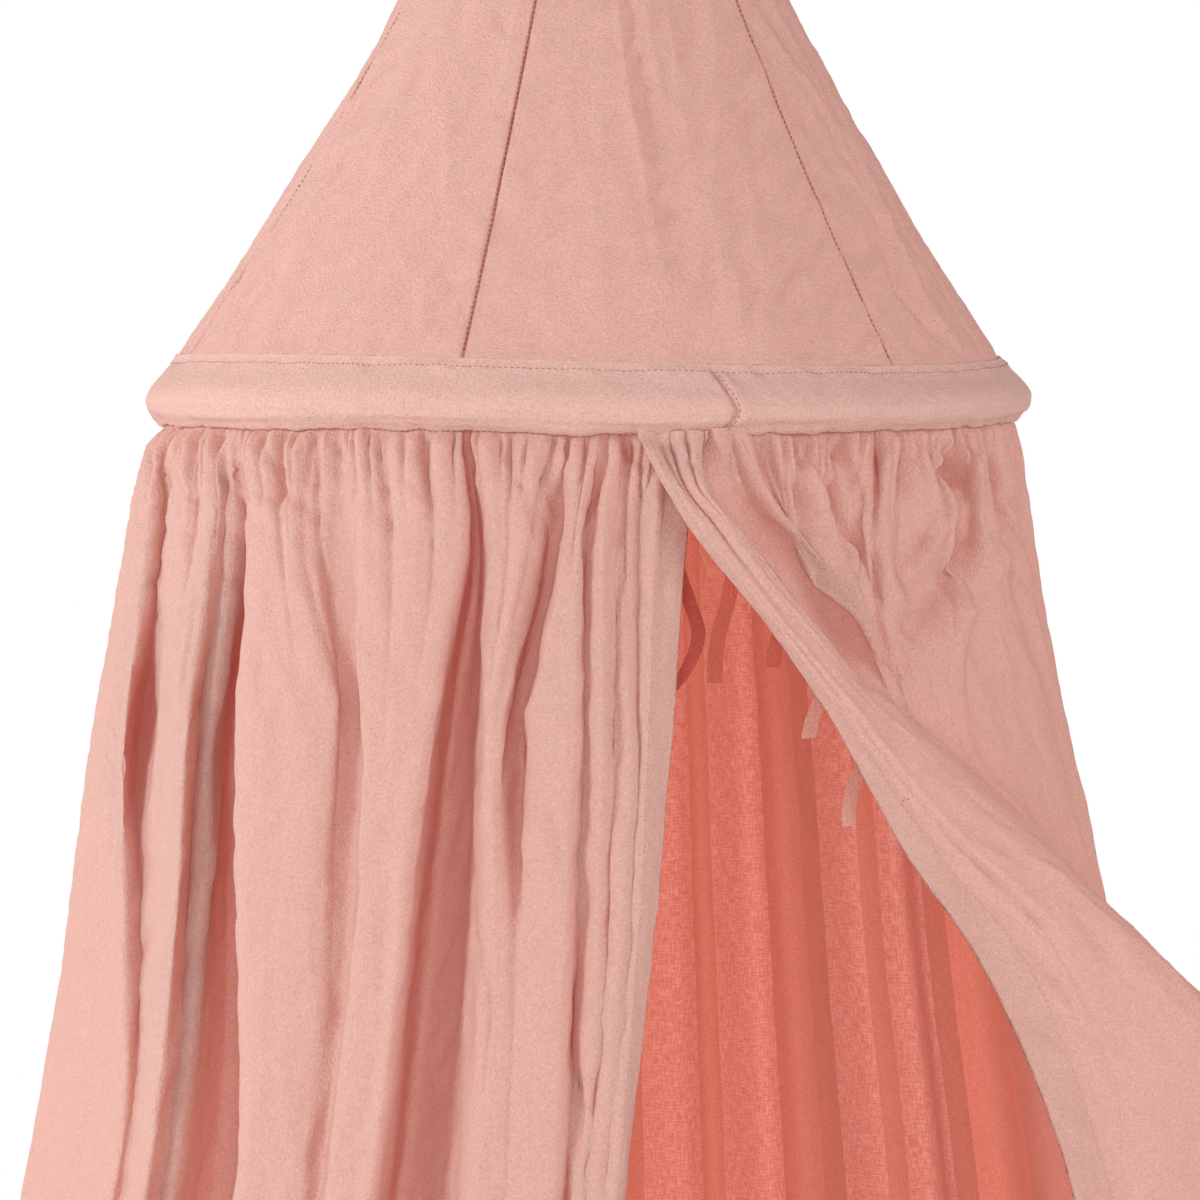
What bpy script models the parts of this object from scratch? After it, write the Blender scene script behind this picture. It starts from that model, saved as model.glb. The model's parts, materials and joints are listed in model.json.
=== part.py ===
"""Bed canopy on a hoop: a dome of six gores, a hoop casing and a long gathered skirt that opens at the front.

Metres, +Z up, front towards -Y. The origin is the crown of the hanging loop, where the ceiling hook bears.
"""

import math
from collections import namedtuple

import bmesh
import bpy
import numpy as np

CLOTH = 0.0012  # thickness of one layer of cloth
SEAM_GAP = 0.0004  # what parts two pieces that are sewn edge to edge
EDGE_SET = 0.0006  # how far an edge stands off the casing that it is sewn to

LOOP_EYE_HIGH = 0.030
LOOP_EYE_WIDE = 0.016
LOOP_TAPE_WIDE = 0.012
LOOP_TAPE_THICK = 0.0015
LOOP_TAIL_LONG = 0.022

TIP_Z = -0.035  # top edge of the dome
TIP_RADIUS = 0.007
DOME_HIGH = 0.420
DOME_RADIUS = 0.2326
DOME_HOLLOW = 0.26  # how far the dome's side dips below a straight cone
GORE_SEAMS_DEG = (-70, -16, 44, 104, 164, 226)
GORE_ROWS = 9
GORE_COLUMNS = 6

# The band is sewn a little unevenly: its height in mm at these bearings.
CASING_HIGH_DEG = (-180, -90, -50, -20, 8, 24, 60, 90, 180)
CASING_HIGH_MM = (37, 39, 39, 36.4, 36.4, 33.6, 33, 33.6, 37)
HOOP_RADIUS = 0.2446
HOOP_TUBE_RADIUS = 0.0038
HOOP_DROP = 0.63  # the hoop's centre, as a share of the way down the casing
HOOP_SWAY = 0.003  # the light hoop is a little out of flat
HOOP_ASIDE = -0.008  # the drawn flap holds the hoop this far to the left of the loop
RING_STEPS = 60
TUBE_STEPS = 8
CASING_JOIN_DEG = 15.5

DOME_SEAM_Z = TIP_Z - DOME_HIGH
SKIRT_LONG = 1.11
SIDE_SEAM_DEG = 122

RIBBON_WIDE = 0.008
RIBBON_THICK = 0.001

CM = 0.01
MM = 0.001

# Depths below the casing at which the skirt's folds are given.
SEAM, YOKE, UPPER, MIDDLE, LOWER, HEM = 0.0, 0.05, 0.15, 0.26, 0.38, SKIRT_LONG
FOLD_DEPTHS = (SEAM, YOKE, UPPER, MIDDLE, LOWER, HEM)

# The skirt's outer shape: its radius at each depth, and how far it bulges more at the left than at the right.
Outline = namedtuple("Outline", "depth radius left_bulge")
OUTLINE = (
    Outline(0.00, 0.2400, 0.0000),
    Outline(0.012, 0.2472, 0.0038),
    Outline(0.035, 0.2530, 0.0046),
    Outline(0.05, 0.2560, 0.0050),
    Outline(0.10, 0.2645, 0.0050),
    Outline(0.15, 0.2738, 0.0050),
    Outline(0.20, 0.2838, 0.0030),
    Outline(0.26, 0.2945, 0.0006),
    Outline(0.32, 0.3035, 0.0000),
    Outline(0.38, 0.3140, 0.0000),
    Outline(0.44, 0.3260, 0.0000),
    Outline(HEM, 0.4400, 0.0000),
)
SKIRT_ROWS = (0, 0.012, 0.03, 0.055, 0.09, 0.13, 0.17, 0.21, 0.26, 0.32, 0.38, 0.47, 0.58, 0.78, 0.95, HEM)
STEPS_A_FOLD = 2

# A fold's line runs from the casing to the hem. Its bearing is in degrees from the front, and its inset in mm
# is how far it lies inside the skirt's outer shape: about 0 on a ridge, more in a valley.
Fold = namedtuple(
    "Fold",
    "name bearing_seam bearing_yoke bearing_upper bearing_middle bearing_lower bearing_hem "
    "inset_seam inset_yoke inset_upper inset_middle inset_lower inset_hem",
)

LEFT_FOLDS = (
    Fold("front_edge", 13.7, 12.0, 9.5, 6.6, 3.4, -6, 3.5, 9, 11, 12, 13, 14),
    Fold("hem_line", 9.1, 8.0, 6.6, 4.8, 2.4, -8.4, 3.5, 5, 5, 5, 5, 6),
    Fold("hem_shadow", 7.9, 6.6, 5.8, 4.1, 1.6, -10.2, 3.5, 15, 15, 9, 7, 10),
    Fold("edge_ridge", 6.1, 4.7, 4.6, 3.0, 0.7, -11.8, 2, 7, 7, 5, 4, 2),
    Fold("edge_dip", 4.4, 3.3, 2.8, 2.0, -0.2, -13.6, 2.5, 10, 10, 8, 7, 13),
    Fold("centre_ridge", 3.0, 1.7, 1.5, 0.8, -0.9, -15.6, 0.5, 2, 2, 3, 3, 2),
    Fold("centre_crease", 2.0, 0.1, -0.2, -1.0, -1.9, -17.8, 2.5, 14, 15, 16, 15, 22),
    Fold("wide_ridge", 0.9, -0.8, -1.2, -2.1, -3.0, -20.5, 0.5, 0, 0, 0, 0, 0),
    Fold("wide_edge", -0.6, -2.4, -6.1, -6.3, -6.8, -23.5, 0.5, 3, 3, 1, 0, 3),
    Fold("y_valley", -2.0, -3.5, -7.3, -7.0, -7.5, -25.5, 3, 18, 24, 4, 2, 22),
    Fold("y_ridge", -4.2, -5.9, -9.0, -8.2, -8.8, -28, 0, 4, 4, 1, 1, 4),
    Fold("second_ridge", -8.2, -8.2, -10.4, -9.4, -10.3, -31, 1, 0, 0, 0, 0, 0),
    Fold("second_side", -12.4, -11.2, -11.6, -11.1, -12.2, -32.8, 0.5, 6, 7, 8, 9, 10),
    Fold("deep_floor", -14.0, -13.0, -14.2, -14.6, -15.6, -34.6, 3, 18, 34, 38, 36, 34),
    Fold("deep_valley", -14.9, -14.4, -18.0, -19.6, -21.2, -36.2, 4, 26, 46, 50, 50, 44),
    Fold("third_edge", -15.9, -14.9, -17.0, -18.3, -19.7, -38, 0.5, 5, 3, 2, 2, 2),
    Fold("third_ridge", -21.5, -19.3, -20.6, -20.5, -22.0, -41.5, 0, 0, 0, 0, 0, 0),
    Fold("third_side", -29.9, -27.9, -24.9, -23.1, -24.3, -43.5, 0.5, 3, 3, 2, 2, 3),
    Fold("soft_valley", -32.3, -30.9, -27.2, -25.6, -26.4, -45, 2.5, 11, 15, 13, 10, 24),
    Fold("fourth_side", -37.1, -35.3, -28.4, -27.9, -27.8, -46.5, 0.5, 4, 4, 4, 3, 5),
    Fold("fourth_ridge", -43.1, -39.7, -34.2, -32.1, -30.6, -48.5, 0, 0, 0, 0, 0, 0),
    Fold("fourth_edge", -49.0, -44.2, -42.1, -38.5, -35.3, -51, 0.5, 4, 3, 3, 3, 4),
    Fold("tuck_valley", -50.0, -47.6, -50.0, -46.0, -42.0, -51, 3.5, 18, 48, 54, 56, 44),
    Fold("tuck_floor", -50.6, -49.0, -55.0, -52.0, -48.5, -53.5, 2.5, 20, 44, 50, 52, 40),
    Fold("thin_ridge", -51.2, -49.5, -49.2, -47.2, -46.2, -56, 1, 12, 15, 17, 18, 12),
    Fold("thin_valley", -52.4, -51.4, -53.0, -50.5, -47.6, -58, 2.5, 16, 22, 23, 15, 18),
    Fold("main_ridge", -54.0, -50.0, -49.1, -46.7, -46.5, -61.5, 0, 3, 0, 0, 0, 0),
    Fold("main_edge", -56.5, -53.0, -53.3, -50.3, -49.7, -64.5, 1.5, 5, 2, 2, 2, 3),
    Fold("side_slope", -61.5, -57.0, -59.8, -54.4, -51.4, -66, 0.5, 2, 14, 11, 7, 14),
    Fold("side_valley", -68.5, -67.9, -74.1, -59.5, -52.9, -68, 3, 13, 26, 18, 8, 26),
    Fold("side_edge", -72.5, -66.6, -63.9, -57.6, -53.6, -71, 0.5, 2, 1, 2, 4, 3),
    Fold("side_dip", -76.5, -69.8, -66.6, -62.2, -59.8, -75, 2, 4, 3, 4, 4, 16),
    Fold("side_ridge", -80.5, -73.2, -69.6, -67.1, -67.6, -79.5, 0, 0, 0, 0, 0, 0),
    Fold("flank_dip", -85, -80, -78, -77, -78, -84, 2.5, 6, 8, 9, 10, 24),
    Fold("flank_ridge", -90, -88, -87, -86, -86, -89, 0, 0, 0, 0, 0, 0),
    Fold("rear_dip", -96, -95, -94, -93, -93, -94, 3, 11, 15, 17, 20, 30),
    Fold("rear_ridge", -103, -102, -101.5, -101, -100.5, -101, 0, 0, 0, 0, 0, 0),
    Fold("last_dip", -110, -109, -109, -108.5, -108, -108, 3, 12, 17, 20, 24, 32),
    Fold("last_ridge", -116, -116, -116, -116, -116, -116, 0, 0, 0, 0, 0, 0),
    Fold("side_seam", -122, -122, -122, -122, -122, -122, 1.5, 5, 7, 8, 9, 12),
)

RIGHT_FOLDS = (
    Fold("narrow_valley", 37.2, 34.6, 39.6, 57, 66, 79, 3, 11, 1, 4, 8, 22),
    Fold("narrow_ridge", 40.4, 37.6, 41.8, 60, 68.5, 81, 0, 0, 1, 0, 0, 0),
    Fold("slant_dip", 46.1, 44.5, 44.0, 63.5, 71, 82, 3, 8, 2, 6, 10, 30),
    Fold("slant_ridge", 50.7, 50.8, 46.6, 67, 74.5, 84.5, 0, 0, 0, 0, 0, 0),
    Fold("slant_valley", 55.5, 53.9, 52.0, 70.5, 77.5, 87, 3, 10, 5, 9, 15, 34),
    Fold("shoulder_ridge", 60, 57.5, 66, 74, 81, 89.5, 0, 0, 0, 0, 0, 0),
    Fold("shoulder_dip", 67, 65.5, 73, 78, 84.5, 92.5, 3, 9, 4, 10, 18, 36),
    Fold("side_ridge", 73.5, 72.5, 78.5, 82, 88, 96, 0, 0, 0, 0, 0, 0),
    Fold("side_valley", 80, 79.5, 83, 86.5, 92, 99.5, 3, 12, 9, 14, 22, 38),
    Fold("flank_ridge", 87, 87, 88, 91.5, 97, 104, 0, 0, 0, 0, 0, 0),
    Fold("flank_dip", 95, 95, 95, 97.5, 102, 108.5, 3, 13, 16, 20, 26, 36),
    Fold("rear_ridge", 103, 103, 103, 104, 107, 113, 0, 0, 0, 0, 0, 0),
    Fold("rear_dip", 112, 112, 111.5, 112, 113.5, 117.5, 3, 13, 17, 20, 24, 30),
    Fold("side_seam", 122, 122, 122, 122, 122, 122, 1.5, 5, 7, 8, 9, 12),
)

# The flap is drawn aside to a hold at the right. Its lines are given in cm: across to the right, out to the
# front, and down from the casing, at distances along the cloth.
FLAP_RUNS_CM = (0, 2.5, 5, 11, 17, 25, 34, 46, 58, 111)
FlapLine = namedtuple("FlapLine", "name seam gather yoke throat waist sweep reach fall hold hem")

FLAP_LINES = (
    FlapLine(
        "free_edge",
        (2.6, 24.3, 0), (3.8, 25.0, 2.1), (5.0, 25.3, 4.2), (8.7, 25.7, 9.0), (12.1, 25.7, 13.9),
        (16.0, 25.2, 20.8), (20.9, 24.2, 28.4), (25.2, 23.3, 39.4), (27.4, 23.2, 51), (28.6, 24.5, 103.5),
    ),
    FlapLine(
        "hem_line",
        (3.6, 24.3, 0), (4.6, 25.3, 2.1), (5.8, 25.8, 4.1), (9.4, 26.2, 9.0), (13.1, 26.3, 13.6),
        (17.9, 26.1, 19.8), (24.0, 25.4, 26.4), (28.2, 24.7, 37.5), (30.8, 25.4, 49), (32.6, 27.4, 101.5),
    ),
    FlapLine(
        "face",
        (4.9, 24.3, 0), (5.4, 25.2, 2.2), (6.9, 25.8, 4.2), (10.6, 26.0, 9.0), (14.4, 25.7, 13.3),
        (19.6, 25.2, 18.8), (26.2, 24.6, 25.2), (32.2, 23.6, 35.2), (35.4, 21.2, 46), (36.0, 19.2, 98.5),
    ),
    FlapLine(
        "under_ridge",
        (5.5, 24.3, 0), (5.9, 25.1, 2.3), (7.4, 25.6, 4.4), (11.2, 25.6, 9.1), (15.0, 25.0, 13.3),
        (20.6, 24.4, 18.8), (27.2, 23.9, 24.9), (34.4, 23.0, 33.8), (39.8, 21.8, 43.2), (40.6, 24.6, 96.5),
    ),
    FlapLine(
        "ridge",
        (6.1, 24.3, 0), (6.3, 24.9, 2.4), (7.9, 25.3, 4.6), (11.8, 25.0, 9.1), (15.5, 24.1, 13.2),
        (21.3, 23.2, 18.9), (27.8, 22.8, 25.0), (36.0, 21.8, 33.4), (43.6, 19.6, 41.8), (45.0, 20.0, 95),
    ),
    FlapLine(
        "ridge_back",
        (7.0, 23.9, 0), (7.6, 23.0, 2.5), (8.9, 22.6, 4.8), (12.6, 22.0, 9.4), (16.0, 22.5, 13.7),
        (22.1, 20.6, 19.4), (27.9, 20.0, 25.8), (35.2, 18.9, 34.4), (42.0, 17.0, 42.8), (43.8, 15.6, 95.5),
    ),
    FlapLine(
        "body_ridge",
        (10.2, 21.8, 0), (10.5, 22.6, 2.5), (11.1, 23.1, 5.0), (14.2, 22.2, 10.0), (16.4, 21.9, 14.4),
        (22.4, 18.6, 22.0), (27.4, 16.8, 30.2), (33.6, 15.4, 40.2), (39.6, 13.8, 50.0), (43.4, 11.9, 101),
    ),
)

# The back hangs in pressed folds that lap over a little, as they show through the opening.
BACK_FOLDS = 9
BACK_INSET_MM = (3, 14, 18, 22, 24, 30)
BACK_LAP_DEG = 2.6
BACK_UNEVEN_DEG = (0.8, -1.4, 1.1, -0.6, 1.6, -1.2, 0.4, 1.3, -0.9)


def bearing_to_xy(degrees, radius):
    angle = np.radians(degrees)
    return radius * np.sin(angle), -radius * np.cos(angle)


def hoop_sway(degrees):
    """How far the hoop, and what is sewn to it, stands above flat at this bearing."""
    return -HOOP_SWAY * np.sin(2 * np.radians(degrees))


def casing_high(degrees):
    """The band's height at this bearing."""
    turned = (np.asarray(degrees) + 180) % 360 - 180
    return through(CASING_HIGH_DEG, CASING_HIGH_MM, turned) * MM


def skirt_top(degrees):
    """Height of the skirt's upper edge at this bearing."""
    return DOME_SEAM_Z - casing_high(degrees) - EDGE_SET + hoop_sway(degrees)


def through(stations, values, wanted):
    """A smooth curve through the values that never overshoots them."""
    stations, values = np.asarray(stations, float), np.asarray(values, float)
    steps = np.diff(stations)
    slopes = np.diff(values) / steps
    tangents = np.concatenate([slopes[:1], np.zeros(len(slopes) - 1), slopes[-1:]])
    same = slopes[:-1] * slopes[1:] > 0
    before, after = slopes[:-1][same], slopes[1:][same]
    w_before, w_after = (2 * steps[1:] + steps[:-1])[same], (steps[1:] + 2 * steps[:-1])[same]
    tangents[1:-1][same] = (w_before + w_after) / (w_before / before + w_after / after)
    wanted = np.asarray(wanted, float)
    k = np.clip(np.searchsorted(stations, wanted, side="right") - 1, 0, len(steps) - 1)
    t = (wanted - stations[k]) / steps[k]
    return (
        values[k] * (1 + 2 * t) * (1 - t) ** 2
        + tangents[k] * steps[k] * t * (1 - t) ** 2
        + values[k + 1] * t * t * (3 - 2 * t)
        + tangents[k + 1] * steps[k] * t * t * (t - 1)
    )


def fold_line(fold, depths):
    """Points of one hanging fold at these depths below the casing."""
    bearing = through(FOLD_DEPTHS, fold[1:7], depths)
    inset = through(FOLD_DEPTHS, fold[7:13], depths) * MM
    stations, radii, bulges = zip(*OUTLINE)
    side = np.sin(np.radians(bearing))
    radius = through(stations, radii, depths) - side * abs(side) * through(stations, bulges, depths) - inset
    x, y = bearing_to_xy(bearing, radius)
    return np.stack([x, y, skirt_top(bearing) - np.asarray(depths)], axis=1)


def flap_line(line, runs):
    """Points of one of the flap's lines at these distances along the cloth."""
    across, out, down = (
        through(np.array(FLAP_RUNS_CM) * CM, [station[axis] * CM for station in line[1:]], runs)
        for axis in range(3)
    )
    bearing = np.degrees(np.arctan2(across, out))
    return np.stack([across, -out, skirt_top(bearing) - down], axis=1)


def back_folds():
    """The back's folds, from the right side seam round to the left one: a ridge, then a valley lapped behind it."""
    first, last = SIDE_SEAM_DEG, 360 - SIDE_SEAM_DEG
    pitch = (last - first) / BACK_FOLDS
    folds = [Fold("right_seam", *[first] * 6, 1.5, 5, 7, 8, 9, 12)]
    for k in range(BACK_FOLDS):
        ridge = first + (k + 0.42) * pitch + BACK_UNEVEN_DEG[k]
        folds.append(Fold(f"ridge_{k}", *[ridge] * 6, *[0] * 6))
        if k < BACK_FOLDS - 1:
            valley = ridge + 0.5 * pitch - BACK_LAP_DEG
            folds.append(Fold(f"valley_{k}", *[valley] * 6, *BACK_INSET_MM))
    folds.append(Fold("left_seam", *[last] * 6, 1.5, 5, 7, 8, 9, 12))
    return folds


def across_lines(lines, steps):
    """A grid of points that runs smoothly across the lines, with this many steps from one to the next."""
    lines = np.asarray(lines)
    slopes = np.gradient(lines, axis=0)
    columns = []
    for k in range(len(lines) - 1):
        for step in range(steps):
            t = step / steps
            columns.append(
                lines[k] * (1 + 2 * t) * (1 - t) ** 2
                + slopes[k] * t * (1 - t) ** 2
                + lines[k + 1] * t * t * (3 - 2 * t)
                + slopes[k + 1] * t * t * (t - 1)
            )
    columns.append(lines[-1])
    return np.asarray(columns)


def halved_turns(grid, axis):
    """The direction at each point that halves the turn between the steps before and after it."""
    steps = np.diff(grid, axis=axis)
    steps /= np.linalg.norm(steps, axis=2, keepdims=True)
    first, last = np.take(steps, [0], axis=axis), np.take(steps, [-1], axis=axis)
    return np.concatenate([first, steps], axis=axis) + np.concatenate([steps, last], axis=axis)


def grid_normals(grid):
    normals = np.cross(halved_turns(grid, 0), halved_turns(grid, 1))
    return normals / np.linalg.norm(normals, axis=2, keepdims=True)


def new_object(name, points, faces, material, aside=HOOP_ASIDE):
    """One closed mesh, its faces turned outwards, as a named object."""
    mesh = bpy.data.meshes.new(name)
    mesh.from_pydata([(x + aside, y, z) for x, y, z in points], [], faces)
    shape = bmesh.new()
    shape.from_mesh(mesh)
    bmesh.ops.recalc_face_normals(shape, faces=shape.faces)
    if shape.calc_volume(signed=True) < 0:
        bmesh.ops.reverse_faces(shape, faces=shape.faces)
    bmesh.ops.triangulate(shape, faces=shape.faces)
    shape.to_mesh(mesh)
    shape.free()
    mesh.shade_smooth()
    mesh.set_sharp_from_angle(angle=math.radians(60))
    mesh.materials.append(material)
    obj = bpy.data.objects.new(name, mesh)
    bpy.context.scene.collection.objects.link(obj)
    return obj


def sheet(name, grid, material, thickness=CLOTH):
    """Cloth of this thickness about a grid of points: both faces and the edges between them."""
    columns, rows = grid.shape[:2]
    offset = grid_normals(grid) * thickness / 2
    points = np.concatenate([(grid + offset).reshape(-1, 3), (grid - offset).reshape(-1, 3)])
    other = columns * rows
    faces = []
    for i in range(columns - 1):
        for j in range(rows - 1):
            a, b = i * rows + j, (i + 1) * rows + j
            faces.append((a, b, b + 1, a + 1))
            faces.append((other + a, other + a + 1, other + b + 1, other + b))
    rim = [i * rows for i in range(columns)]
    rim += [(columns - 1) * rows + j for j in range(1, rows)]
    rim += [i * rows + rows - 1 for i in range(columns - 2, -1, -1)]
    rim += list(range(rows - 2, 0, -1))
    for here, there in zip(rim, rim[1:] + rim[:1]):
        faces.append((here, other + here, other + there, there))
    return new_object(name, points, faces, material)


def cloth_material(name, colour, roughness=0.9):
    material = bpy.data.materials.new(name)
    material.use_nodes = True
    shader = material.node_tree.nodes["Principled BSDF"]
    shader.inputs["Base Color"].default_value = (*colour, 1)
    shader.inputs["Roughness"].default_value = roughness
    shader.inputs["Metallic"].default_value = 0
    material.diffuse_color = (*colour, 1)
    return material


def dome_radius(share):
    """The dome's radius at this share of its height above the casing."""
    return TIP_RADIUS + (DOME_RADIUS - TIP_RADIUS) * (1 - share) * (1 - DOME_HOLLOW * share)


def make_gore(number, start_deg, end_deg, material):
    """One roof panel. Its side edges stand half the seam's gap off the next gore's all the way up."""
    shares = np.linspace(0, 1, GORE_ROWS)
    columns = []
    for k in range(GORE_COLUMNS + 1):
        side = -1 if k == 0 else 1 if k == GORE_COLUMNS else 0
        middle_deg = start_deg + (end_deg - start_deg) * k / GORE_COLUMNS
        column = []
        for share in shares:
            radius = dome_radius(share)
            bearing = middle_deg - side * math.degrees((SEAM_GAP / 2) / radius)
            x, y = bearing_to_xy(bearing, radius)
            sway = hoop_sway(bearing) * (1 - share)
            column.append((x - HOOP_ASIDE * share, y, DOME_SEAM_Z + EDGE_SET + share * DOME_HIGH + sway))
        columns.append(column)
    sheet(f"gore_{number}", np.array(columns), material)


def make_dome(material):
    ends = GORE_SEAMS_DEG[1:] + (GORE_SEAMS_DEG[0] + 360,)
    for number, (start, end) in enumerate(zip(GORE_SEAMS_DEG, ends), start=1):
        make_gore(number, start, end, material)


# The casing's section, round the outside and back up the inside: radius in mm, and share of the way down.
CASING_SECTION = (
    (233.0, 0.016), (240.2, 0.25), (247.0, 0.48), (250.0, 0.63), (248.9, 0.77), (244.8, 0.91),
    (241.0, 0.984), (236.5, 0.984), (234.6, 0.80), (232.8, 0.53), (231.4, 0.27), (230.4, 0.016),
)


def make_casing(material):
    """A closed sleeve round the hoop, its two ends meeting at the stitched join."""
    section = np.array(CASING_SECTION) * (MM, casing_high(0))
    tangents = np.roll(section, -1, axis=0) - np.roll(section, 1, axis=0)
    outward = np.stack([tangents[:, 1], -tangents[:, 0]], axis=1)
    outward /= np.linalg.norm(outward, axis=1, keepdims=True)
    centre = section.mean(axis=0)
    outward *= np.where((outward * (section - centre)).sum(axis=1) < 0, -1, 1)[:, None]
    skins = (section + outward * CLOTH / 2, section - outward * CLOTH / 2)
    count = len(section)
    half_gap = math.degrees(SEAM_GAP / 2 / HOOP_RADIUS)
    bearings = np.linspace(CASING_JOIN_DEG + half_gap, CASING_JOIN_DEG + 360 - half_gap, RING_STEPS + 1)
    points = []
    for bearing in bearings:
        stretch = casing_high(bearing) / casing_high(0)
        for skin in skins:
            for radius, depth in skin:
                x, y = bearing_to_xy(bearing, radius)
                points.append((x, y, DOME_SEAM_Z - depth * stretch + hoop_sway(bearing)))
    faces = []
    for ring in range(RING_STEPS):
        here, there = ring * 2 * count, (ring + 1) * 2 * count
        for k in range(count):
            n = (k + 1) % count
            faces.append((here + k, here + n, there + n, there + k))
            faces.append((here + count + n, here + count + k, there + count + k, there + count + n))
    for end in (0, RING_STEPS * 2 * count):
        for k in range(count):
            n = (k + 1) % count
            faces.append((end + k, end + n, end + count + n, end + count + k))
    new_object("casing", points, faces, material)


def make_hoop(material):
    points, faces = [], []
    for ring in range(RING_STEPS):
        bearing = CASING_JOIN_DEG + 360 * ring / RING_STEPS
        for k in range(TUBE_STEPS):
            turn = 2 * math.pi * k / TUBE_STEPS
            x, y = bearing_to_xy(bearing, HOOP_RADIUS + HOOP_TUBE_RADIUS * math.cos(turn))
            centre = DOME_SEAM_Z - HOOP_DROP * casing_high(bearing) + hoop_sway(bearing)
            points.append((x, y, centre + HOOP_TUBE_RADIUS * math.sin(turn)))
    for ring in range(RING_STEPS):
        here, there = ring * TUBE_STEPS, (ring + 1) % RING_STEPS * TUBE_STEPS
        for k in range(TUBE_STEPS):
            n = (k + 1) % TUBE_STEPS
            faces.append((here + k, here + n, there + n, there + k))
    new_object("hoop", points, faces, material)


def inset_ends(grid):
    """Pulls the first and last column back by half a seam's gap, so that the next panel has room."""
    grid = grid.copy()
    for end, inner in ((0, 1), (-1, -2)):
        inwards = grid[inner] - grid[end]
        grid[end] += inwards / np.linalg.norm(inwards, axis=1, keepdims=True) * SEAM_GAP
    return grid


def left_grid(steps=STEPS_A_FOLD, rows=SKIRT_ROWS):
    return across_lines([fold_line(fold, rows) for fold in LEFT_FOLDS], steps)


def right_grid(steps=STEPS_A_FOLD, rows=SKIRT_ROWS):
    lines = [flap_line(line, rows) for line in FLAP_LINES]
    lines += [fold_line(fold, rows) for fold in RIGHT_FOLDS]
    return across_lines(lines, steps)


def back_grid(steps=STEPS_A_FOLD, rows=SKIRT_ROWS):
    return across_lines([fold_line(fold, rows) for fold in back_folds()], steps)


def make_skirt(material):
    sheet("skirt_left", inset_ends(left_grid()), material)
    sheet("skirt_back", inset_ends(back_grid()), material)
    sheet("skirt_right", inset_ends(right_grid()), material)


# A tie's tail: where it is sewn, as a place between two of its panel's lines and a run down the cloth,
# then its clearance from the hem's inner face, its free length, and how far it swings to the side
# on its way down.
Tie = namedtuple("Tie", "name panel line run_cm gap_mm length_cm swings_mm")

TIES = (
    Tie("tie_a", "left", 0.5, 3.0, 0.6, 12.5, (0, 3, 9, 14, 8, -6, -16)),
    Tie("tie_b", "flap", 1.5, 6.9, 0.8, 6.9, (0, -1, -3, -6, -8, -9, -9)),
    Tie("tie_c", "flap", 1.5, 11.0, 0.7, 2.8, (0, -1, -2, -3, -4, -4, -5)),
    Tie("tie_d", "flap", 1.5, 14.8, 0.6, 3.6, (0, -2, -4, -6, -8, -9, -10)),
    Tie("tie_e", "flap", 1.5, 18.5, 0.8, 5.4, (0, -3, -6, -9, -11, -12, -12)),
)
TIE_HANGS_OFF = 0.014  # how much further in than the sewn end the free end hangs
TIE_SETTLES = 0.008


def tie_route(tie):
    """The middle line of a tail, sewn end first, and the direction of its width."""
    runs = (tie.run_cm * CM, tie.run_cm * CM + CM)
    if tie.panel == "left":
        lines = [fold_line(fold, runs) for fold in LEFT_FOLDS[:3]]
    else:
        lines = [flap_line(line, runs) for line in FLAP_LINES[:4]]
    steps = 20
    column = round(tie.line * steps)
    grid = across_lines(lines, steps)
    inward = -grid_normals(grid)[column][0]
    inward *= np.sign(inward[1])
    width = np.cross(inward, (0, 0, 1))
    width /= np.linalg.norm(width)
    sewn = grid[column][0] + inward * (CLOTH / 2 + tie.gap_mm * MM + RIBBON_THICK / 2)
    below = np.linspace(0, tie.length_cm * CM, 1 + len(tie.swings_mm))
    off = TIE_HANGS_OFF * (1 - np.exp(-below / TIE_SETTLES))
    swing = np.array((0,) + tie.swings_mm) * MM
    route = sewn + np.outer(below, (0, 0, -1)) + np.outer(off, (0, 1, 0)) + np.outer(swing, (1, 0, 0))
    return route, width


def make_tie(tie, material):
    route, width = tie_route(tie)
    half = width * RIBBON_WIDE / 2
    sheet(tie.name, np.stack([route - half, route, route + half]), material, RIBBON_THICK)


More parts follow.
